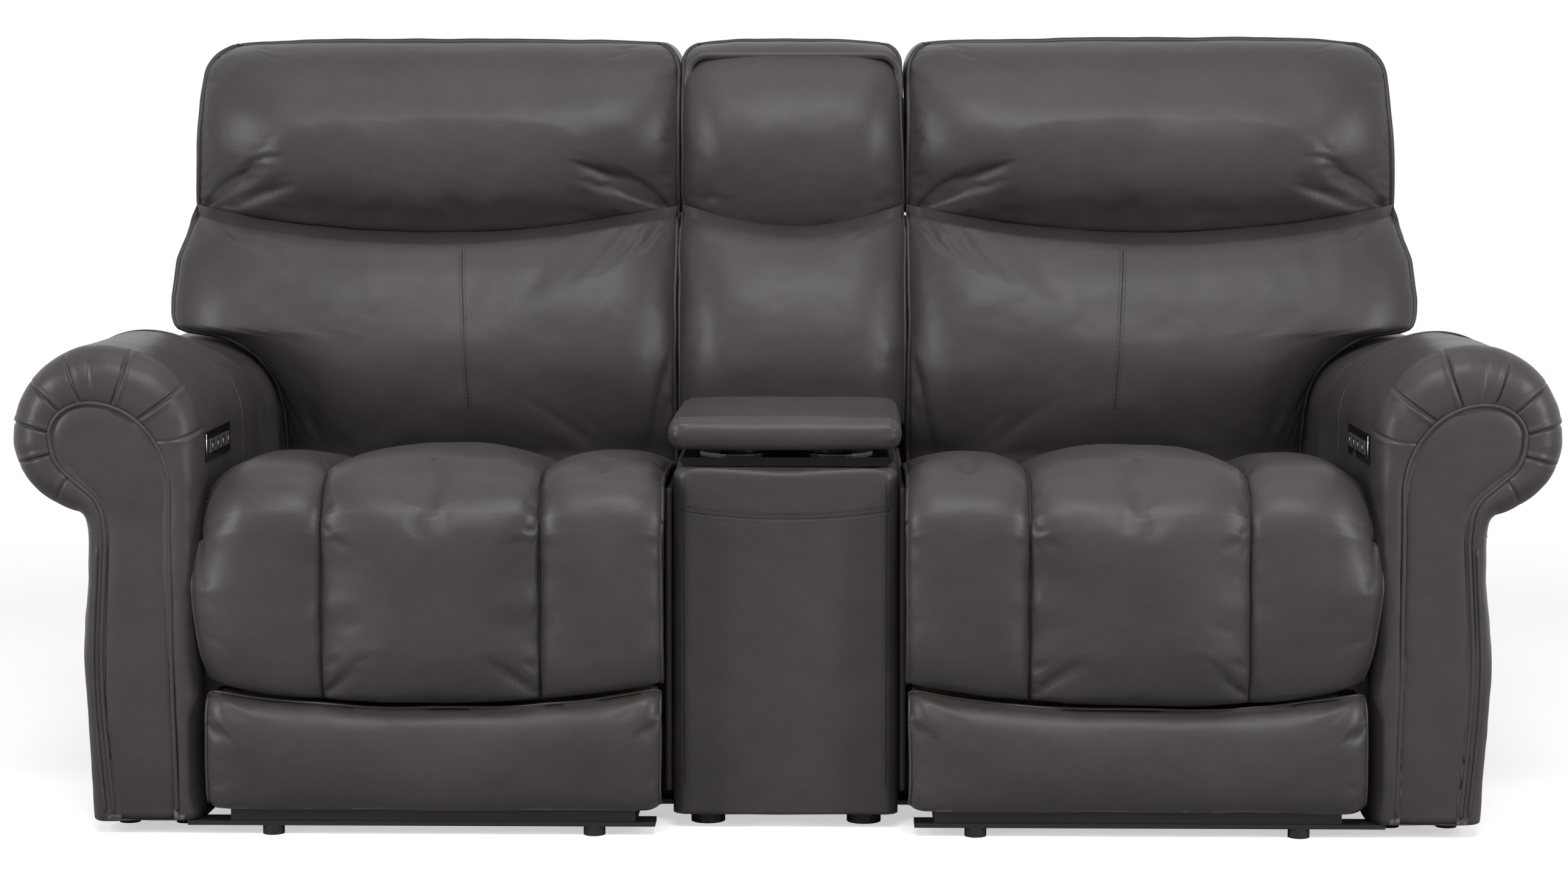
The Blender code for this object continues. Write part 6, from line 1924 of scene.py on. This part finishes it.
def ring_at(y, gap):
    """The section of the arm at a depth, from the inner face over the roll to the neck."""
    points = []
    for index in range(INNER_POINTS - 8, INNER_POINTS + ROLL_POINTS - 4, 3):
        x, z = FULL_RING[index]
        points.append(Vector((x, y, z - crest_fall(y, z))) + ring_normal(index) * gap)
    return points


for side, sign in SIDES:
    arm_name = f"arm_roll_cover_{side}"
    heights = [lerp(POST_WELT_Z[0], POST_WELT_Z[1], i / 50) for i in range(51)]
    second = [(facing_edges(z)[1] + POST_WELT_ASIDE, FRONT_OF_ARM_Y, z) for z in heights]
    second = lay_on(arm_name, flip(second, sign), INTO, 0.0006)
    piping([second], f"post_welt_{side}", "frame", 0.0022, 0.008, sunk=(0.0, 0.0016, 0.0))
    piping([flip(facing_path(), sign)], f"facing_piping_{side}", "frame", 0.0028, 0.005)
    # A near-black line just inside the facing's piping paints the shade along it.
    painted_shade_line([flip(facing_path(-0.0034, 0.0072), sign)], f"facing_groove_shade_{side}", "frame", 0.0012)
    seam_ring = flip(ring_at(ROLL_SEAM_Y, 0.0003), sign)
    piping([seam_ring], f"roll_seam_{side}", "frame", 0.0012, 0.006, sunk=(0.0, 0.0014, 0.0))
    rows = [flip(ring_at(ROLL_SEAM_Y + step, 0.0010), sign) for step in (-0.0055, 0.0055)]
    stitches(rows, f"roll_stitches_{side}", "frame")
    welt = [(sign * 1.1, lerp(-0.440, 0.350, i / 60), OUTER_WELT_Z) for i in range(61)]
    welt = lay_on(arm_name, welt, (-sign, 0, 0), -0.0004)
    inner = [(sign * 0.60, lerp(-0.425, 0.060, i / 40), ARM_SEAM_Z) for i in range(41)]
    inner = lay_on(arm_name, inner, (sign, 0, 0), -0.0004)
    piping([welt, inner], f"arm_welt_{side}", "frame", 0.0020, 0.008)
print("arm trim ready")

# %% Seat, pad and lower pad welts
for side, sign in SIDES:
    piping([spread(run, sign, 0.0008, 0.0, -0.0006) for run in seat_rims[side]],
           f"seat_welt_{side}", f"seat_{side}", WELT, sunk=(0.0, 0.0014, -0.0014))
    piping([spread(run, sign, 0.0006, 0.0006) for run in pad_rims[side]],
           f"upper_pad_welt_{side}", f"footrest_{side}", WELT, sunk=BACKWARD)
    middle = (sign * (PAD_INNER_X + PAD_OUTER_X) / 2, 0.120)
    piping([pushed(lower_rims[side], middle, 0.0008)], f"lower_pad_welt_{side}",
           f"footrest_{side}", 0.0020)
print("seat welts ready")

# %% Console seams and lid stitches
CONSOLE_SEAM_HALF = 0.138
UPRIGHT_SEAM_X = 0.1335
UPRIGHT_SEAM_Z = (0.060, 0.470)
FRONT_OF_CONSOLE_Y = -0.5
STITCH_ROW_GAP = 0.006


def front_seam(step=0.0):
    """The console's scalloped seam or a row beside it, in front of the console."""
    across = [lerp(-CONSOLE_SEAM_HALF, CONSOLE_SEAM_HALF, i / 60) for i in range(61)]
    return [(x, FRONT_OF_CONSOLE_Y, console_seam_z(x) + step) for x in across]


# The dark line in the console's scalloped seam is painted shade in its groove.
painted_shade_line([lay_on("console_wrap", front_seam(), INTO, 0.0)], "console_front_seam_shade", "frame", 0.0010)
rows = [lay_on("console_wrap", front_seam(step), INTO, 0.0002)
        for step in (STITCH_ROW_GAP, -STITCH_ROW_GAP)]
stitches(rows, "console_stitches", "frame")
uprights = []
for edge in (-UPRIGHT_SEAM_X, UPRIGHT_SEAM_X):
    upright = [(edge, FRONT_OF_CONSOLE_Y, lerp(*UPRIGHT_SEAM_Z, i / 40)) for i in range(41)]
    uprights.append(lay_on("console_wrap", upright, INTO, 0.0))
# The upright seams' dark lines are painted shade as well.
painted_shade_line(uprights, "console_upright_seam_shade", "frame", 0.0010, 0.008)

lid_line = [(0.30, lerp(lid_low.y + 0.020, -0.110, i / 50), lid_low.z + 0.012) for i in range(51)]
rows = [lay_on("console_lid_cover", flip(lid_line, sign), (-sign, 0, 0), 0.0002) for sign in (1, -1)]
stitches(rows, "lid_stitches", "console_lid")
print("console seams ready")

# %% [markdown]
# ### Small hard trim and the inner sides
# Each button carries a pale bar of painted highlight, and a bright strip closes the front of each
# control panel. Boards covered in leather stand between the console and the recliners, so no light
# falls through there.

# %% Painted button highlights, bright strips and inner sides
PAINTED_HIGHLIGHT = hard_material("painted_button_highlight", ((0.72,) * 3, (0.80,) * 3), (0.30, 0.40), 0.0, scale=500.0, bump=0.05)
PAINTED_HIGHLIGHT_SIZE = (0.0005, 0.0022, 0.0060)
TRIM_WIDTH = 0.0022
TRIM_PROUD = 0.0012
BUTTON_NUMBERS = range(1, 5)
BOARD_ROUND = (0.0012, 0.006, 0.006)
INNER_BOARDS = (
    ((2, 24, 24), (0.1512, -0.395, 0.045), (0.1605, 0.350, 0.455)),
    ((2, 16, 30), (0.1668, 0.245, 0.480), (0.1690, 0.345, 0.980)),
    ((2, 16, 24), (0.1512, 0.200, 0.300), (0.1680, 0.345, 0.500)),
    ((2, 16, 24), (0.1512, -0.290, 0.015), (0.1795, 0.050, 0.312)),
)
BACK_INNER_BOARD = ((2, 12, 24), (0.1698, 0.246, 0.345), (0.1765, 0.335, 0.600))


def small_block(middle, size, round_off):
    """A small box with bevelled edges."""
    bm = bmesh.new()
    bmesh.ops.create_cube(bm, size=1.0, matrix=(
        Matrix.Translation(middle) @ Matrix.Diagonal((*size, 1.0))))
    bmesh.ops.bevel(bm, geom=list(bm.edges), offset=round_off, segments=2, affect="EDGES")
    return bm


for side, sign in SIDES:
    for number in BUTTON_NUMBERS:
        button_low, button_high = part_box(f"button_{number}_{side}")
        face_x = button_low.x if side == "right" else button_high.x
        middle = (button_low + button_high) / 2
        # Each button's pale bar is a painted highlight on its face.
        highlight_bar = small_block((face_x - sign * 0.0001, middle.y, middle.z), PAINTED_HIGHLIGHT_SIZE, 0.0001)
        make_piece(highlight_bar, f"button_mark_{number}_{side}", PAINTED_HIGHLIGHT, f"button_{number}_{side}")
    panel_low, panel_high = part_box(f"control_panel_{side}")
    face_x = panel_low.x if side == "right" else panel_high.x
    strip = small_block(
        (face_x - sign * 0.0002, panel_low.y + 0.003, (panel_low.z + panel_high.z) / 2),
        (TRIM_PROUD, TRIM_WIDTH, (panel_high.z - panel_low.z) * 0.88), 0.0003)
    make_piece(strip, f"control_trim_{side}", HARD_FINISHES["polished_steel"], "frame")
    boards = merge([round_block(*board, BOARD_ROUND, 0.0) for board in INNER_BOARDS])
    make_piece(on_side(boards, side), f"inner_side_panel_{side}", LEATHER, "frame")
    board = round_block(*BACK_INNER_BOARD, BOARD_ROUND, 0.0)
    make_piece(on_side(board, side), f"back_inner_side_{side}", LEATHER, f"back_{side}")
print("small trim ready")
